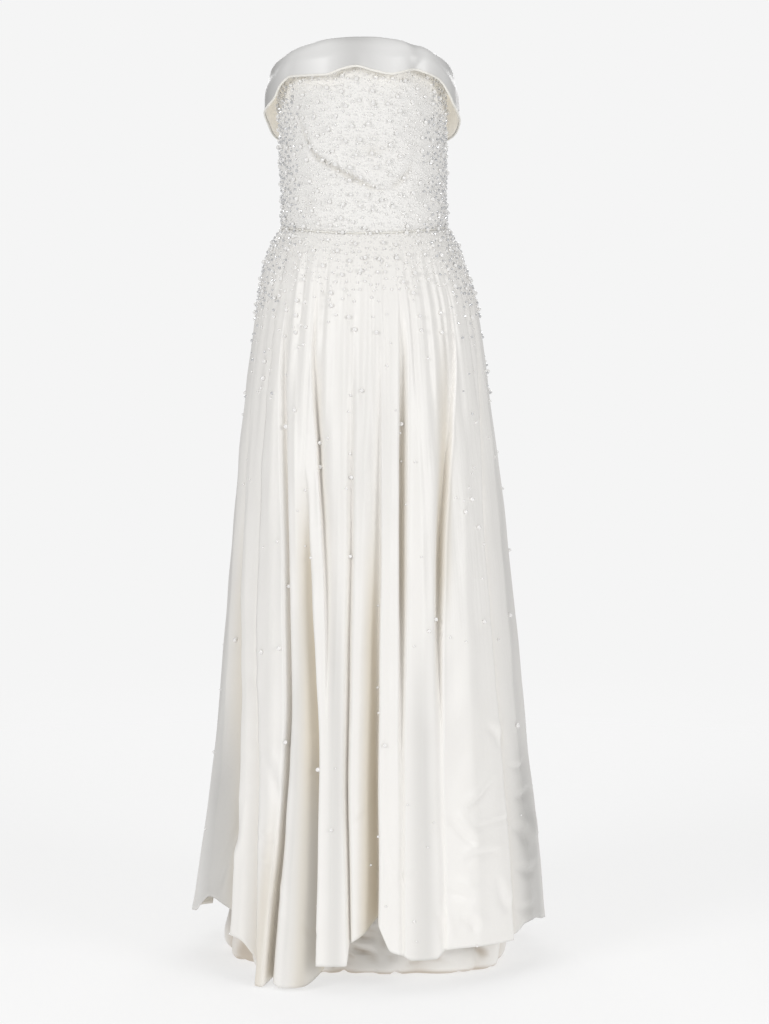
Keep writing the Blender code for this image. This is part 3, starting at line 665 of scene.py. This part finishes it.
def gatherRelief(turn, below):
    # fine soft gathers that run down from the waist seam
    make = skirt["gathers"]
    random = np.random.default_rng(make["seed"])
    relief = np.zeros_like(turn)
    place = -180.0
    while place < 176:
        place += random.uniform(*make["apart"])
        width = random.uniform(*make["width"])
        depth = random.uniform(*make["depth"])
        end = random.uniform(*make["end"])
        drift = random.uniform(*make["drift"])
        smooth = bell(abs(place) - make["hips"][0], make["hips"][1])    # the hips lie smooth under their beads
        away = turn - (place + drift * below)
        fade = ease((below - 0.012) / 0.06) * (1 - ease((below - 0.35 * end) / (0.65 * end)))
        relief -= depth * bell(away, width) * fade * (1 - 0.75 * smooth)
    return relief


def lowTurns(folds, columns):
    low = [fold.low for fold in folds]
    return np.array([low[panel] + (low[panel + 1] - low[panel]) * share for panel, share in columns])


def skirtGrid():
    folds = skirt["folds"]
    front, back = skirt["frontStep"], skirt["backStep"]
    columns = foldColumns(folds, lambda turn: front if abs(turn) < skirt["frontEnds"] else back)
    hemTurn = lowTurns(folds, columns)[:, None]
    even = np.linspace(0, 1, skirt["rows"])[None, :]
    share = np.interp(even, skirt["rowPlaces"], skirt["rowShares"])
    top = waistHeight(columnTurns(folds, columns, np.zeros_like(hemTurn))) - dress["seamGap"] / 2
    hem = readColumn(skirt["hem"], "turn", "height", hemTurn)
    z = top + (hem - top) * share
    below = np.clip(top - z, 0.0, None)
    turn = columnTurns(folds, columns, below)
    x, y, sunk = foldedOutline(skirt["sections"], folds, turn, below)
    around = np.radians(turn) * skirt["planRadius"]
    relief = gatherRelief(turn, below) + crestRelief(turn, below)
    relief += creaseRelief(x, y, z, skirt)
    relief += crumple(around * 1.6, z * 0.7, 0.09, skirt["crumple"], 3) * ease(below / 0.3)
    for number, valley in enumerate(folds):
        if "seam" in valley.name:
            distance = np.radians(turn - valleyTurn(valley, below)) * np.hypot(x, y)
            relief += puckerRelief(distance, z, 0.012, 0.0011, 0.03, 20 + number) * ease(below / 0.05)
    relief += skirt["hemStep"] * ease((z - hem) / -0.002 + skirt["hemBand"] / 0.002)
    x, y = pushedOut(x, y, relief * ease(below / 0.006))
    return np.stack([x, y, z], axis=2), around, z, sunk, columns, turn, below


def underskirtGrid():
    folds = underskirt["folds"]
    columns = foldColumns(folds, lambda turn: underskirt["step"])[:-1]
    hemTurn = lowTurns(folds, columns)[:, None]
    top = waistHeight(columnTurns(folds, columns, np.zeros_like(hemTurn))) - dress["seamGap"] / 2
    lowest = dress["floor"] + underskirt["turnedUnder"][0][1]
    even = np.linspace(0, 1, underskirt["rows"])[None, :]
    wall = top + (lowest - top) * np.interp(even, underskirt["rowPlaces"], underskirt["rowShares"])
    steps = np.linspace(0, 1, len(underskirt["turnedUnder"]))
    at = np.linspace(0, 1, underskirt["rollRows"] + 1)[1:]
    inward = throughPoints(steps, [step[0] for step in underskirt["turnedUnder"]], at)
    up = throughPoints(steps, [step[1] for step in underskirt["turnedUnder"]], at)
    roll = np.broadcast_to(dress["floor"] + up, (len(columns), len(at)))
    z = np.concatenate([wall, roll], axis=1)
    for pucker in underskirt["puckers"]:
        drawn = pucker.lift * bell(aroundFrom(hemTurn, pucker.turn), pucker.width)
        z = z + drawn * ease((lowest + 0.03 - z) / 0.05)
    inward = np.broadcast_to(np.concatenate([np.zeros(even.shape[1]), inward]), z.shape)
    below = np.clip(top - z, 0.0, None)
    turn = columnTurns(folds, columns, below)
    x, y, sunk = foldedOutline(underskirt["sections"], folds, turn, below)
    around = np.radians(turn) * underskirt["planRadius"]
    relief = creaseRelief(x, y, z, underskirt)
    relief += crumple(around, z, 0.06, underskirt["crumple"], 9) * ease(below / 0.5)
    relief *= ease((z - dress["floor"]) / 0.008)
    x, y = pushedOut(x, y, relief - inward)
    # painted shadow: a dark line painted along the lower edge where it meets the floor, and painted shade in
    # its creases
    edge = underskirt["shadeDepth"] * ease((dress["floor"] + 0.009 - z) / 0.007)
    return np.stack([x, y, z], axis=2), around, z, sunk + edge + 8 * np.clip(-relief - 0.0008, 0, 0.003)


# Meshes

def addValues(mesh, key, values):
    values = values.reshape(-1).astype(np.float32)
    mesh.attributes.new(key, "FLOAT", "POINT").data.foreach_set("value", values)


def gridMesh(name, grid, around, along, values, closed=False):
    columns, rows = grid.shape[:2]
    first = np.arange(columns if closed else columns - 1)[:, None]
    beside = (first + 1) % columns
    row = np.arange(rows - 1)[None, :]
    corner = first * rows + row
    other = beside * rows + row
    faces = np.stack([corner, corner + 1, other + 1, other], axis=2).reshape(-1, 4)
    mesh = bpy.data.meshes.new(name)
    mesh.from_pydata(grid.reshape(-1, 3).tolist(), [], faces.tolist())
    plan = np.stack([around.ravel(), along.ravel()], axis=1)[faces]
    if closed:
        wide = np.ptp(around) * columns / (columns - 1)
        wraps = faces[:, 2] < faces[:, 0]
        plan[wraps, 2:, 0] += wide
    mesh.uv_layers.new(name="cut").data.foreach_set("uv", plan.reshape(-1).astype(np.float32))
    for key, value in values.items():
        addValues(mesh, key, value)
    mesh.shade_smooth()
    return mesh


def addObject(name, data):
    added = bpy.data.objects.new(name, data)
    bpy.context.scene.collection.objects.link(added)
    return added


def addPiece(name, mesh, *materials):
    for material in materials:
        mesh.materials.append(material)
    return addObject(name, mesh)


def addWall(piece, cloth):
    wall = piece.modifiers.new("cloth", "SOLIDIFY")
    wall.thickness = cloth
    wall.offset = -1.0
    wall.material_offset = len(piece.data.materials) - 1


def cutSize(name, grid):
    # the flat size of a panel: its widest row, its longest column and its area
    across = np.linalg.norm(np.diff(grid, axis=0), axis=2).sum(axis=0).max()
    down = np.linalg.norm(np.diff(grid, axis=1), axis=2).sum(axis=1).max()
    diagonals = np.cross(grid[1:, 1:] - grid[:-1, :-1], grid[1:, :-1] - grid[:-1, 1:])
    area = round(float(0.5 * np.linalg.norm(diagonals, axis=2).sum()), 4)
    width, length = round(float(across), 3), round(float(down), 3)
    print("cut", name, width, "x", length, "m, area", area)
    return (width, length), min(area, width * length)


def finishPanel(piece, node, slot, cloth, grid, held, **sewn):
    addWall(piece, cloth)
    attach(piece, "root")
    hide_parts(node)
    flat, area = cutSize(node, grid)


def seamTrimmed(grid):
    grid = grid.copy()
    for end, beside in ((0, 1), (-1, -2)):
        inwards = grid[beside] - grid[end]
        inwards /= np.linalg.norm(inwards, axis=1, keepdims=True)
        grid[end] += inwards * dress["seamGap"] / 2
    return grid


def tubeMesh(name, route, radius, sides=8):
    ahead = np.gradient(route, axis=0)
    ahead /= np.linalg.norm(ahead, axis=1, keepdims=True)
    up = np.array([0.0, 0.0, 1.0])
    side = np.cross(ahead, up)
    side /= np.linalg.norm(side, axis=1, keepdims=True)
    lift = np.cross(side, ahead)
    angles = np.linspace(0, 2 * math.pi, sides, endpoint=False)
    wide = np.cos(angles)[None, :, None] * side[:, None]
    tall = np.sin(angles)[None, :, None] * lift[:, None]
    rings = route[:, None] + radius * (wide + tall)
    corner = np.arange(len(route) * sides).reshape(-1, sides)
    beside = np.roll(corner, -1, axis=1)
    faces = np.stack([corner[:-1], beside[:-1], beside[1:], corner[1:]], axis=2).reshape(-1, 4).tolist()
    faces.append(corner[0, ::-1].tolist())
    faces.append(corner[-1].tolist())
    mesh = bpy.data.meshes.new(name)
    mesh.from_pydata(rings.reshape(-1, 3).tolist(), [], faces)
    mesh.shade_smooth()
    return mesh


# Materials

def newMaterial(name, roughness, **sockets):
    material = bpy.data.materials.new(name)
    material.use_nodes = True
    shader = material.node_tree.nodes["Principled BSDF"]
    shader.inputs["Roughness"].default_value = roughness
    for socket, value in sockets.items():
        shader.inputs[socket.replace("_", " ")].default_value = value
    return material, shader


def addNode(tree, kind, wires=None, values=None, **settings):
    node = tree.nodes.new(kind)
    for key, value in settings.items():
        setattr(node, key, value)
    for socket, value in (values or {}).items():
        node.inputs[socket].default_value = value
    for socket, output in (wires or {}).items():
        tree.links.new(output, node.inputs[socket])
    return node


def mixColour(tree, factor, first, second):
    mix = addNode(tree, "ShaderNodeMix", {"Factor": factor}, data_type="RGBA")
    for socket, value in ((mix.inputs[6], first), (mix.inputs[7], second)):
        if isinstance(value, tuple):
            socket.default_value = (*value, 1.0)
        else:
            tree.links.new(value, socket)
    return mix.outputs[2]


def addNoise(tree, vector, scale, detail, distortion=0.0):
    values = {"Scale": scale, "Detail": detail, "Distortion": distortion}
    return addNode(tree, "ShaderNodeTexNoise", {"Vector": vector}, values).outputs["Fac"]


def stretched(tree, vector, across, down):
    scale = {"Scale": (across, down, 1)}
    return addNode(tree, "ShaderNodeMapping", {"Vector": vector}, scale).outputs["Vector"]


def addBump(tree, height, strength, distance, normal=None):
    wires = {"Height": height, "Normal": normal} if normal else {"Height": height}
    values = {"Strength": strength, "Distance": distance}
    return addNode(tree, "ShaderNodeBump", wires, values).outputs["Normal"]


def fallLines(tree, plan, strength):
    # soft uneven lines down the fall of the cloth, which fade towards the hem
    lines = addNoise(tree, stretched(tree, plan, 62, 2.4), 1.0, 3.0)
    height = addNode(tree, "ShaderNodeSeparateXYZ", {"Vector": plan}).outputs["Y"]
    ends = {"From Min": -0.85, "From Max": -0.35, "To Min": 0.25, "To Max": 1.0}
    fade = addNode(tree, "ShaderNodeMapRange", {"Value": height}, ends, interpolation_type="SMOOTHSTEP")
    faded = addNode(tree, "ShaderNodeMath", {0: lines, 1: fade.outputs["Result"]}, operation="MULTIPLY")
    return addBump(tree, faded.outputs["Value"], strength, 0.004)


def addGrains(tree, strength):
    # the cloth is covered in tiny seed beads between the sewn ones
    place = addNode(tree, "ShaderNodeTexCoord").outputs["Object"]
    grains = addNode(tree, "ShaderNodeTexVoronoi", {"Vector": place}, {"Scale": 520.0}).outputs["Distance"]
    dome = addNode(tree, "ShaderNodeMath", {1: grains}, {0: 1.0}, operation="SUBTRACT").outputs["Value"]
    return addBump(tree, dome, strength, 0.0006)


def satinMaterial(name, finish):
    material, shader = newMaterial(
        name, finish["roughness"], Sheen_Weight=finish["sheen"], Sheen_Roughness=0.4,
        Specular_IOR_Level=finish["specular"], Anisotropic=finish["anisotropic"],
        Emission_Color=(*finish["colour"], 1.0),
        Emission_Strength=finish.get("through", 0.0))       # painted glow: an emission that stands in for light passing the thin cloth
    tree = material.node_tree
    plan = addNode(tree, "ShaderNodeUVMap", uv_map="cut").outputs["UV"]
    colour = mixColour(tree, addNoise(tree, plan, 14.0, 3.0), finish["colour"], finish["cloud"])
    # painted shade: the colour is mixed towards the darker tones where the painted-shade masks call for it
    for shade in ("paintedShade", "grey"):
        if shade in finish:
            where = addNode(tree, "ShaderNodeAttribute", attribute_name=shade).outputs["Fac"]
            colour = mixColour(tree, where, colour, finish[shade])
    tree.links.new(colour, shader.inputs["Base Color"])
    if "grain" in finish:
        surface = addGrains(tree, finish["grain"])
    else:
        falling = fallLines(tree, plan, finish["streaks"]) if "streaks" in finish else None
        swells = addNoise(tree, plan, 34.0, 3.0, 1.2)
        uneven = addBump(tree, swells, finish.get("rumple", 0.0), 0.002, falling)
        threads = addNoise(tree, stretched(tree, plan, 2600, 160), 1.0, 2.0)    # they run down the cloth
        surface = addBump(tree, threads, finish["weave"], 0.0001, uneven)
    tree.links.new(surface, shader.inputs["Normal"])
    return material


# The darker tones below are painted shade: laid into folds, creases and under the collar, and on the skirt's
# sides that turn from the lamps.
finishes = {
    "skirtSatin": {
        "colour": (0.935, 0.918, 0.890), "cloud": (0.910, 0.891, 0.858), "paintedShade": (0.72, 0.655, 0.545),
        "grey": (0.60, 0.588, 0.565), "streaks": 0.28,
        "roughness": 0.38, "sheen": 0.08, "specular": 0.45, "anisotropic": 0.35, "weave": 0.25,
        "rumple": 0.22,
    },
    "bodiceSatin": {
        "colour": (0.955, 0.942, 0.920), "cloud": (0.935, 0.92, 0.895), "paintedShade": (0.82, 0.795, 0.75),
        "roughness": 0.45, "sheen": 0.10, "specular": 0.4, "anisotropic": 0.0, "grain": 0.8,
    },
    "collarSatin": {
        "colour": (0.88, 0.875, 0.865), "cloud": (0.855, 0.85, 0.84), "paintedShade": (0.46, 0.455, 0.445),
        "roughness": 0.34, "sheen": 0.05, "specular": 0.5, "anisotropic": 0.2, "weave": 0.2,
    },
    "creamLining": {
        "colour": (0.97, 0.945, 0.885), "cloud": (0.96, 0.93, 0.865), "paintedShade": (0.94, 0.90, 0.82),
        "roughness": 0.45, "sheen": 0.1, "specular": 0.4, "anisotropic": 0.2, "weave": 0.2,
    },
    "underSatin": {
        "colour": (0.925, 0.908, 0.880), "cloud": (0.905, 0.885, 0.850), "paintedShade": (0.58, 0.51, 0.43),
        "roughness": 0.38, "sheen": 0.12, "specular": 0.45, "anisotropic": 0.3, "weave": 0.2,
        "rumple": 0.35,
    },
}
# painted glow: the collar's lining gives off light of its own, so its shadowed inside looks lit
finishes["collarLining"] = {**finishes["creamLining"], "through": 0.22}
satins = {name: satinMaterial(name, finish) for name, finish in finishes.items()}
pearlLustre, _ = newMaterial(
    "pearlLustre", 0.16, Base_Color=(0.93, 0.92, 0.905, 1),
    Coat_Weight=0.6, Coat_Roughness=0.06, Specular_IOR_Level=0.6)
crystalClear, _ = newMaterial(
    "crystalClear", 0.14, Base_Color=(0.76, 0.765, 0.78, 1),
    Metallic=0.4, Coat_Weight=0.5, Coat_Roughness=0.06)
seedWhite, _ = newMaterial(
    "seedWhite", 0.22, Base_Color=(0.92, 0.915, 0.90, 1), Coat_Weight=0.4, Coat_Roughness=0.1)
pipingCream, _ = newMaterial("pipingCream", 0.42, Base_Color=(0.95, 0.93, 0.875, 1), Sheen_Weight=0.1)
print("materials made")


# Beads, sewn on by Geometry Nodes

beads = {
    "pearls": {
        "faceted": False, "diameter": 0.0066, "spread": 0.14, "stand": 0.32, "lustre": pearlLustre,
        "bodiceApart": 0.0185, "skirtApart": 0.0185, "seed": 4,
    },
    "smallPearls": {
        "faceted": False, "diameter": 0.0040, "spread": 0.22, "stand": 0.22, "lustre": pearlLustre,
        "bodiceApart": 0.0092, "skirtApart": 0.0096, "seed": 31,
    },
    "crystals": {
        "faceted": True, "diameter": 0.0042, "spread": 0.28, "stand": 0.24, "lustre": crystalClear,
        "bodiceApart": 0.0074, "skirtApart": 0.0086, "seed": 12,
    },
    "seeds": {
        "faceted": True, "diameter": 0.0021, "spread": 0.25, "stand": 0.18, "lustre": seedWhite,
        "bodiceApart": 0.0040, "skirtApart": 0.0044, "seed": 23,
    },
}


def addMath(tree, operation, first, second):
    # each of the two is a number or the output of another node
    given = {0: first, 1: second}
    values = {socket: value for socket, value in given.items() if isinstance(value, float)}
    wires = {socket: value for socket, value in given.items() if socket not in values}
    return addNode(tree, "ShaderNodeMath", wires, values, operation=operation).outputs["Value"]


def beadTree(name, faceted):
    tree = bpy.data.node_groups.new(name, "GeometryNodeTree")
    tree.interface.new_socket("Cloth", in_out="INPUT", socket_type="NodeSocketGeometry")
    for label, kind in (("Apart", "Float"), ("Diameter", "Float"), ("Spread", "Float"), ("Stand", "Float"),
                        ("Seed", "Int"), ("Lustre", "Material")):
        tree.interface.new_socket(label, in_out="INPUT", socket_type="NodeSocket" + kind)
    tree.interface.new_socket("Beads", in_out="OUTPUT", socket_type="NodeSocketGeometry")
    given = addNode(tree, "NodeGroupInput").outputs
    density = addNode(
        tree, "GeometryNodeInputNamedAttribute", values={"Name": "beading"}, data_type="FLOAT").outputs[0]
    most = addMath(tree, "DIVIDE", 2.6, addMath(tree, "MULTIPLY", given["Apart"], given["Apart"]))
    strew = addNode(
        tree, "GeometryNodeDistributePointsOnFaces",
        {"Mesh": given["Cloth"], "Distance Min": given["Apart"], "Density Max": most,
         "Density Factor": density, "Seed": given["Seed"]},
        distribute_method="POISSON").outputs
    if faceted:
        bead = addNode(tree, "GeometryNodeMeshIcoSphere", values={"Subdivisions": 1, "Radius": 0.5})
    else:
        bead = addNode(tree, "GeometryNodeMeshUVSphere", values={"Segments": 8, "Rings": 5, "Radius": 0.5})
    smooth = addNode(
        tree, "GeometryNodeSetShadeSmooth",
        {"Geometry": bead.outputs["Mesh"]}, {"Shade Smooth": not faceted})
    smallest = addMath(tree, "SUBTRACT", 1.0, given["Spread"])
    largest = addMath(tree, "ADD", 1.0, given["Spread"])
    vary = addNode(tree, "FunctionNodeRandomValue", data_type="FLOAT")
    named = {socket.identifier: socket for socket in vary.inputs}
    for socket, output in (("Min_001", smallest), ("Max_001", largest), ("Seed", given["Seed"])):
        tree.links.new(output, named[socket])
    share = next(socket for socket in vary.outputs if socket.identifier == "Value_001")
    size = addMath(tree, "MULTIPLY", share, given["Diameter"])
    place = addNode(
        tree, "GeometryNodeInstanceOnPoints",
        {"Points": strew["Points"], "Instance": smooth.outputs["Geometry"],
         "Rotation": strew["Rotation"], "Scale": size})
    raised = addNode(tree, "ShaderNodeCombineXYZ", {"Z": given["Stand"]}).outputs["Vector"]
    lift = addNode(
        tree, "GeometryNodeTranslateInstances",
        {"Instances": place.outputs["Instances"], "Translation": raised})
    turn = addNode(tree, "FunctionNodeRandomValue", data_type="FLOAT_VECTOR")
    ends = {socket.identifier: socket for socket in turn.inputs}
    ends["Min"].default_value = (0, 0, 0)
    ends["Max"].default_value = (math.pi, math.pi, math.pi) if faceted else (0, 0, math.pi)
    spun = addNode(
        tree, "GeometryNodeRotateInstances",
        {"Instances": lift.outputs["Instances"], "Rotation": turn.outputs[0]})
    realize = addNode(tree, "GeometryNodeRealizeInstances", {"Geometry": spun.outputs["Instances"]})
    coat = addNode(
        tree, "GeometryNodeSetMaterial",
        {"Geometry": realize.outputs["Geometry"], "Material": given["Lustre"]})
    addNode(tree, "NodeGroupOutput", {"Beads": coat.outputs["Geometry"]})
    return tree


beadTrees = {True: beadTree("facetedBeads", True), False: beadTree("roundBeads", False)}


def sewBeads(node, kind, mesh, beading, apart, seedShift):
    # beading goes from 0, bare, to 1, full, over the mesh's points
    make = beads[kind]
    name = f"{node}_{kind}"
    cloth = mesh.copy()
    addValues(cloth, "beading", beading)
    holder = addObject(name + "Cloth", cloth)
    nodes = holder.modifiers.new("beads", "NODES")
    nodes.node_group = beadTrees[make["faceted"]]
    items = nodes.node_group.interface.items_tree
    sockets = {item.name: item.identifier for item in items if item.item_type == "SOCKET"}
    given = {
        "Apart": apart,
        "Diameter": make["diameter"],
        "Spread": make["spread"],
        "Stand": make["stand"],     # in diameters, as the lift follows the size
        "Seed": make["seed"] + seedShift,
        "Lustre": make["lustre"],
    }
    for label, value in given.items():
        nodes[sockets[label]] = value
    ready = holder.evaluated_get(bpy.context.evaluated_depsgraph_get())
    sewn = bpy.data.meshes.new_from_object(ready)
    sewn.name = name
    holder.modifiers.remove(nodes)
    bpy.data.objects.remove(holder)
    piece = addObject(name, sewn)
    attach(piece, "root")
    print(name, len(sewn.polygons), "faces")
    return piece


# Bodice and collar

def buildBodice():
    for number, (node, (first, last, columns)) in enumerate(bodice["panels"].items()):
        grid, around, along, relief = bodiceGrid(first, last, columns)
        tops = readColumn(collar["places"], "turn", "top", np.linspace(first, last, columns))[:, None]
        # painted shadow under the collar, and painted shade in the creases
        shade = bodice["shade"] * (1 - ease((tops - along) / bodice["shadeDepth"] - 1))
        shade = np.clip(shade + np.clip(-relief - 0.0008, 0, 1) / 0.0022, 0, 1)
        mesh = gridMesh(node + "_satin", grid, around, along, {"paintedShade": shade})
        turns = np.abs(np.linspace(first, last, columns))[:, None]
        bare = (along < tops - bodice["bareTop"]).astype(float)
        edges = ease((turns - 42) / 22) * (1 - 0.7 * ease((turns - 125) / 30))
        cover = {"pearls": bare, "seeds": bare}
        cover["smallPearls"] = bare * (1 - 0.4 * edges)
        cover["crystals"] = bare * edges
        piece = addPiece(node + "_satin", mesh, satins["bodiceSatin"], satins["creamLining"])
        sewn = [
            sewBeads(node, kind, mesh, cover[kind], make["bodiceApart"], number)
            for kind, make in beads.items()
        ]
        finishPanel(piece, node, "beaded_satin", dress["cloth"], grid, "stretched", with_pieces=sewn)


def addRoll(name, route, radius):
    roll = addPiece(name, tubeMesh(name, route, radius), pipingCream)
    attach(roll, "root")
    return roll


def buildCollar():
    grid, around, along, shade = collarGrid()
    mesh = gridMesh("collar_satin", grid, around, along, {"paintedShade": shade})
    piece = addPiece("collar_satin", mesh, satins["collarSatin"], satins["collarLining"])
    edge = grid[:, -1].copy()
    edge[:, 2] -= collar["piping"] * 0.5
    edge[:, :2] *= 1 + collar["piping"] * 0.1 / 0.13
    piping = addRoll("collar_piping", edge, collar["piping"])
    finishPanel(piece, "collar", "collar_satin", collar["cloth"], grid, "folded", with_pieces=[piping])


def buildWaistRoll():
    # a narrow roll of cream satin is sewn into the waist seam and hides it
    turns = np.linspace(-179.6, 179.6, 220)
    up = np.full_like(turns, dress["waistRollUp"])
    x, y = bodiceOutline(turns, up, dress["waistRollOut"])
    route = np.stack([x, y, waistHeight(turns) + up], axis=1)
    addRoll("waist_roll", route, dress["waistRoll"])


buildBodice()
buildCollar()
buildWaistRoll()
print("bodice and collar made")


# Skirt and underskirt

def skirtBeading(kind, turn, below):
    # thick over the hips, thinner over the front, with a few beads all the way down
    side = ease((np.abs(turn) - 40) / 20) * ease((150 - np.abs(turn)) / 30)
    high = 1 - ease((below - 0.035) / (0.09 + 0.05 * side))
    scattered = 0.5 + 0.5 * ease((0.75 - below) / 0.4)
    if kind == "pearls":
        return np.clip(0.75 * high + 0.16 * (1 - ease((below - 0.08) / 0.16)) + 0.05 * scattered, 0, 1)
    if kind == "smallPearls":
        return np.clip(0.8 * high + 0.10 * (1 - ease((below - 0.10) / 0.18)) + 0.022 * scattered, 0, 1)
    if kind == "seeds":
        return np.clip(0.9 * (1 - ease((below - 0.02) / 0.08)), 0, 1)
    low = 1 - ease((below - 0.04) / (0.05 + 0.09 * side))
    return np.clip(side * low + 0.05 * side * (1 - ease((below - 0.2) / 0.2)), 0, 1)


def buildSkirt():
    grid, around, along, sunk, columns, turn, below = skirtGrid()
    names = [valley.name for valley in skirt["folds"]]
    starts = {}
    for number, (panel, share) in enumerate(columns):
        if share == 0.0:
            starts.setdefault(names[panel], number)
    for shift, (node, (first, last)) in enumerate(skirt["cuts"].items()):
        begin = starts[first]
        end = len(columns) - 1 if last == "centre back seam" else starts[last]
        part = slice(begin, end + 1)
        panel = seamTrimmed(grid[part])
        # painted shade: darker by how deep each valley sinks, warmer on facets in the folds and greyer on the
        # sides that turn from the lamps
        warm = paintedShadeFrom("warm", turn[part], below[part])
        grey = np.clip(paintedShadeFrom("grey", turn[part], below[part]), 0, 1)
        paintedShade = np.clip(0.7 * np.clip(sunk[part] / skirt["shadeDepth"], 0, 1) ** 1.2 + warm, 0, 1)
        mesh = gridMesh(node + "_satin", panel, around[part], along[part], {"paintedShade": paintedShade, "grey": grey})
        piece = addPiece(node + "_satin", mesh, satins["skirtSatin"], satins["creamLining"])
        sewn = []
        for kind, make in beads.items():
            beading = skirtBeading(kind, turn[part], below[part]) * (1 - 0.8 * paintedShade)
            sewn.append(sewBeads(node, kind, mesh, beading, make["skirtApart"], 7 + shift))
        finishPanel(piece, node, "skirt_satin", dress["cloth"], panel, "hung", with_pieces=sewn)


def buildUnderskirt():
    grid, around, along, sunk = underskirtGrid()
    # painted shade: darker in its valleys and creases, with a painted shadow line along its lower edge
    paintedShade = np.clip(sunk / underskirt["shadeDepth"], 0, 1)
    mesh = gridMesh("underskirt_satin", grid, around, along, {"paintedShade": paintedShade}, closed=True)
    piece = addPiece("underskirt_satin", mesh, satins["underSatin"], satins["creamLining"])
    whole = np.concatenate([grid, grid[:1]])
    finishPanel(piece, "underskirt", "lining_satin", dress["cloth"], whole, "hung")


buildSkirt()
buildUnderskirt()
print("skirt and underskirt made")


# Floor, light and camera

studio = {
    "page": 0.9131,         # the pale page behind the dress
    "floorRadius": 3.4,
    "floorFade": (1.1, 3.2),
    "floorGrey": 0.40,
    "floorGlow": 0.61,
    "world": 0.36,
    "aim": -0.35,           # the height that the lamps point at
    "camera": {"across": 0.0305, "distance": 4.5, "up": 0.0, "pitch": 5.40, "lens": 103.71},
    "lights": {
        "frontLeft": {"place": (-2.8, -3.2, 1.0), "size": 2.0, "power": 66},
        "frontRight": {"place": (2.9, -3.0, 0.6), "size": 2.0, "power": 56},
        "top": {"place": (0.0, -0.6, 3.2), "size": 2.2, "power": 16},
        "backLeft": {"place": (-1.1, 4.0, 1.4), "size": 2.2, "power": 28},
        "backRight": {"place": (1.1, 4.0, 1.2), "size": 2.2, "power": 28},
    },
}


def buildFloor():
    bpy.ops.mesh.primitive_circle_add(
        vertices=96, radius=studio["floorRadius"], fill_type="NGON", location=(0, 0, dress["floor"]))
    floor = bpy.context.object
    floor.name = "floor"
    material, shader = newMaterial(
        "floorPaper", 1.0, Base_Color=(*[studio["floorGrey"]] * 3, 1), Specular_IOR_Level=0.0,
        Emission_Color=(1, 1, 1, 1), Emission_Strength=studio["floorGlow"])
    tree = material.node_tree
    place = addNode(tree, "ShaderNodeTexCoord").outputs["Object"]
    away = addNode(tree, "ShaderNodeVectorMath", {0: place}, operation="LENGTH").outputs["Value"]
    near, far = studio["floorFade"]
    ends = {"From Min": near, "From Max": far, "To Min": 1.0, "To Max": 0.0}
    fade = addNode(tree, "ShaderNodeMapRange", {"Value": away}, ends, interpolation_type="SMOOTHSTEP")
    tree.links.new(fade.outputs["Result"], shader.inputs["Alpha"])
    floor.data.materials.append(material)


def buildLights():
    for name, light in studio["lights"].items():
        data = bpy.data.lights.new(name, "AREA")
        data.shape = "DISK"
        data.size = light["size"]
        data.energy = light["power"]
        lamp = addObject(name, data)
        lamp.location = light["place"]
        towards = -lamp.location
        towards.z += studio["aim"]
        lamp.rotation_euler = towards.to_track_quat("-Z", "Y").to_euler()
    world = bpy.data.worlds.new("studio")
    bpy.context.scene.world = world
    world.use_nodes = True
    tree = world.node_tree
    white = {"Color": (1, 1, 1, 1)}
    seen = addNode(tree, "ShaderNodeBackground", values={**white, "Strength": studio["page"]})
    lit = addNode(tree, "ShaderNodeBackground", values={**white, "Strength": studio["world"]})
    path = addNode(tree, "ShaderNodeLightPath").outputs["Is Camera Ray"]
    mix = addNode(
        tree, "ShaderNodeMixShader", {0: path, 1: lit.outputs["Background"], 2: seen.outputs["Background"]})
    tree.links.new(mix.outputs["Shader"], tree.nodes["World Output"].inputs["Surface"])


def buildCamera():
    place = studio["camera"]
    data = bpy.data.cameras.new("camera")
    data.lens = place["lens"]
    data.sensor_width = 36.0
    camera = addObject("camera", data)
    camera.location = (place["across"], -place["distance"], place["up"])
    camera.rotation_euler = (math.radians(90 - place["pitch"]), 0, 0)
    bpy.context.scene.camera = camera


buildFloor()
buildLights()
buildCamera()
bpy.context.scene.view_settings.view_transform = "Standard"
print("studio made")
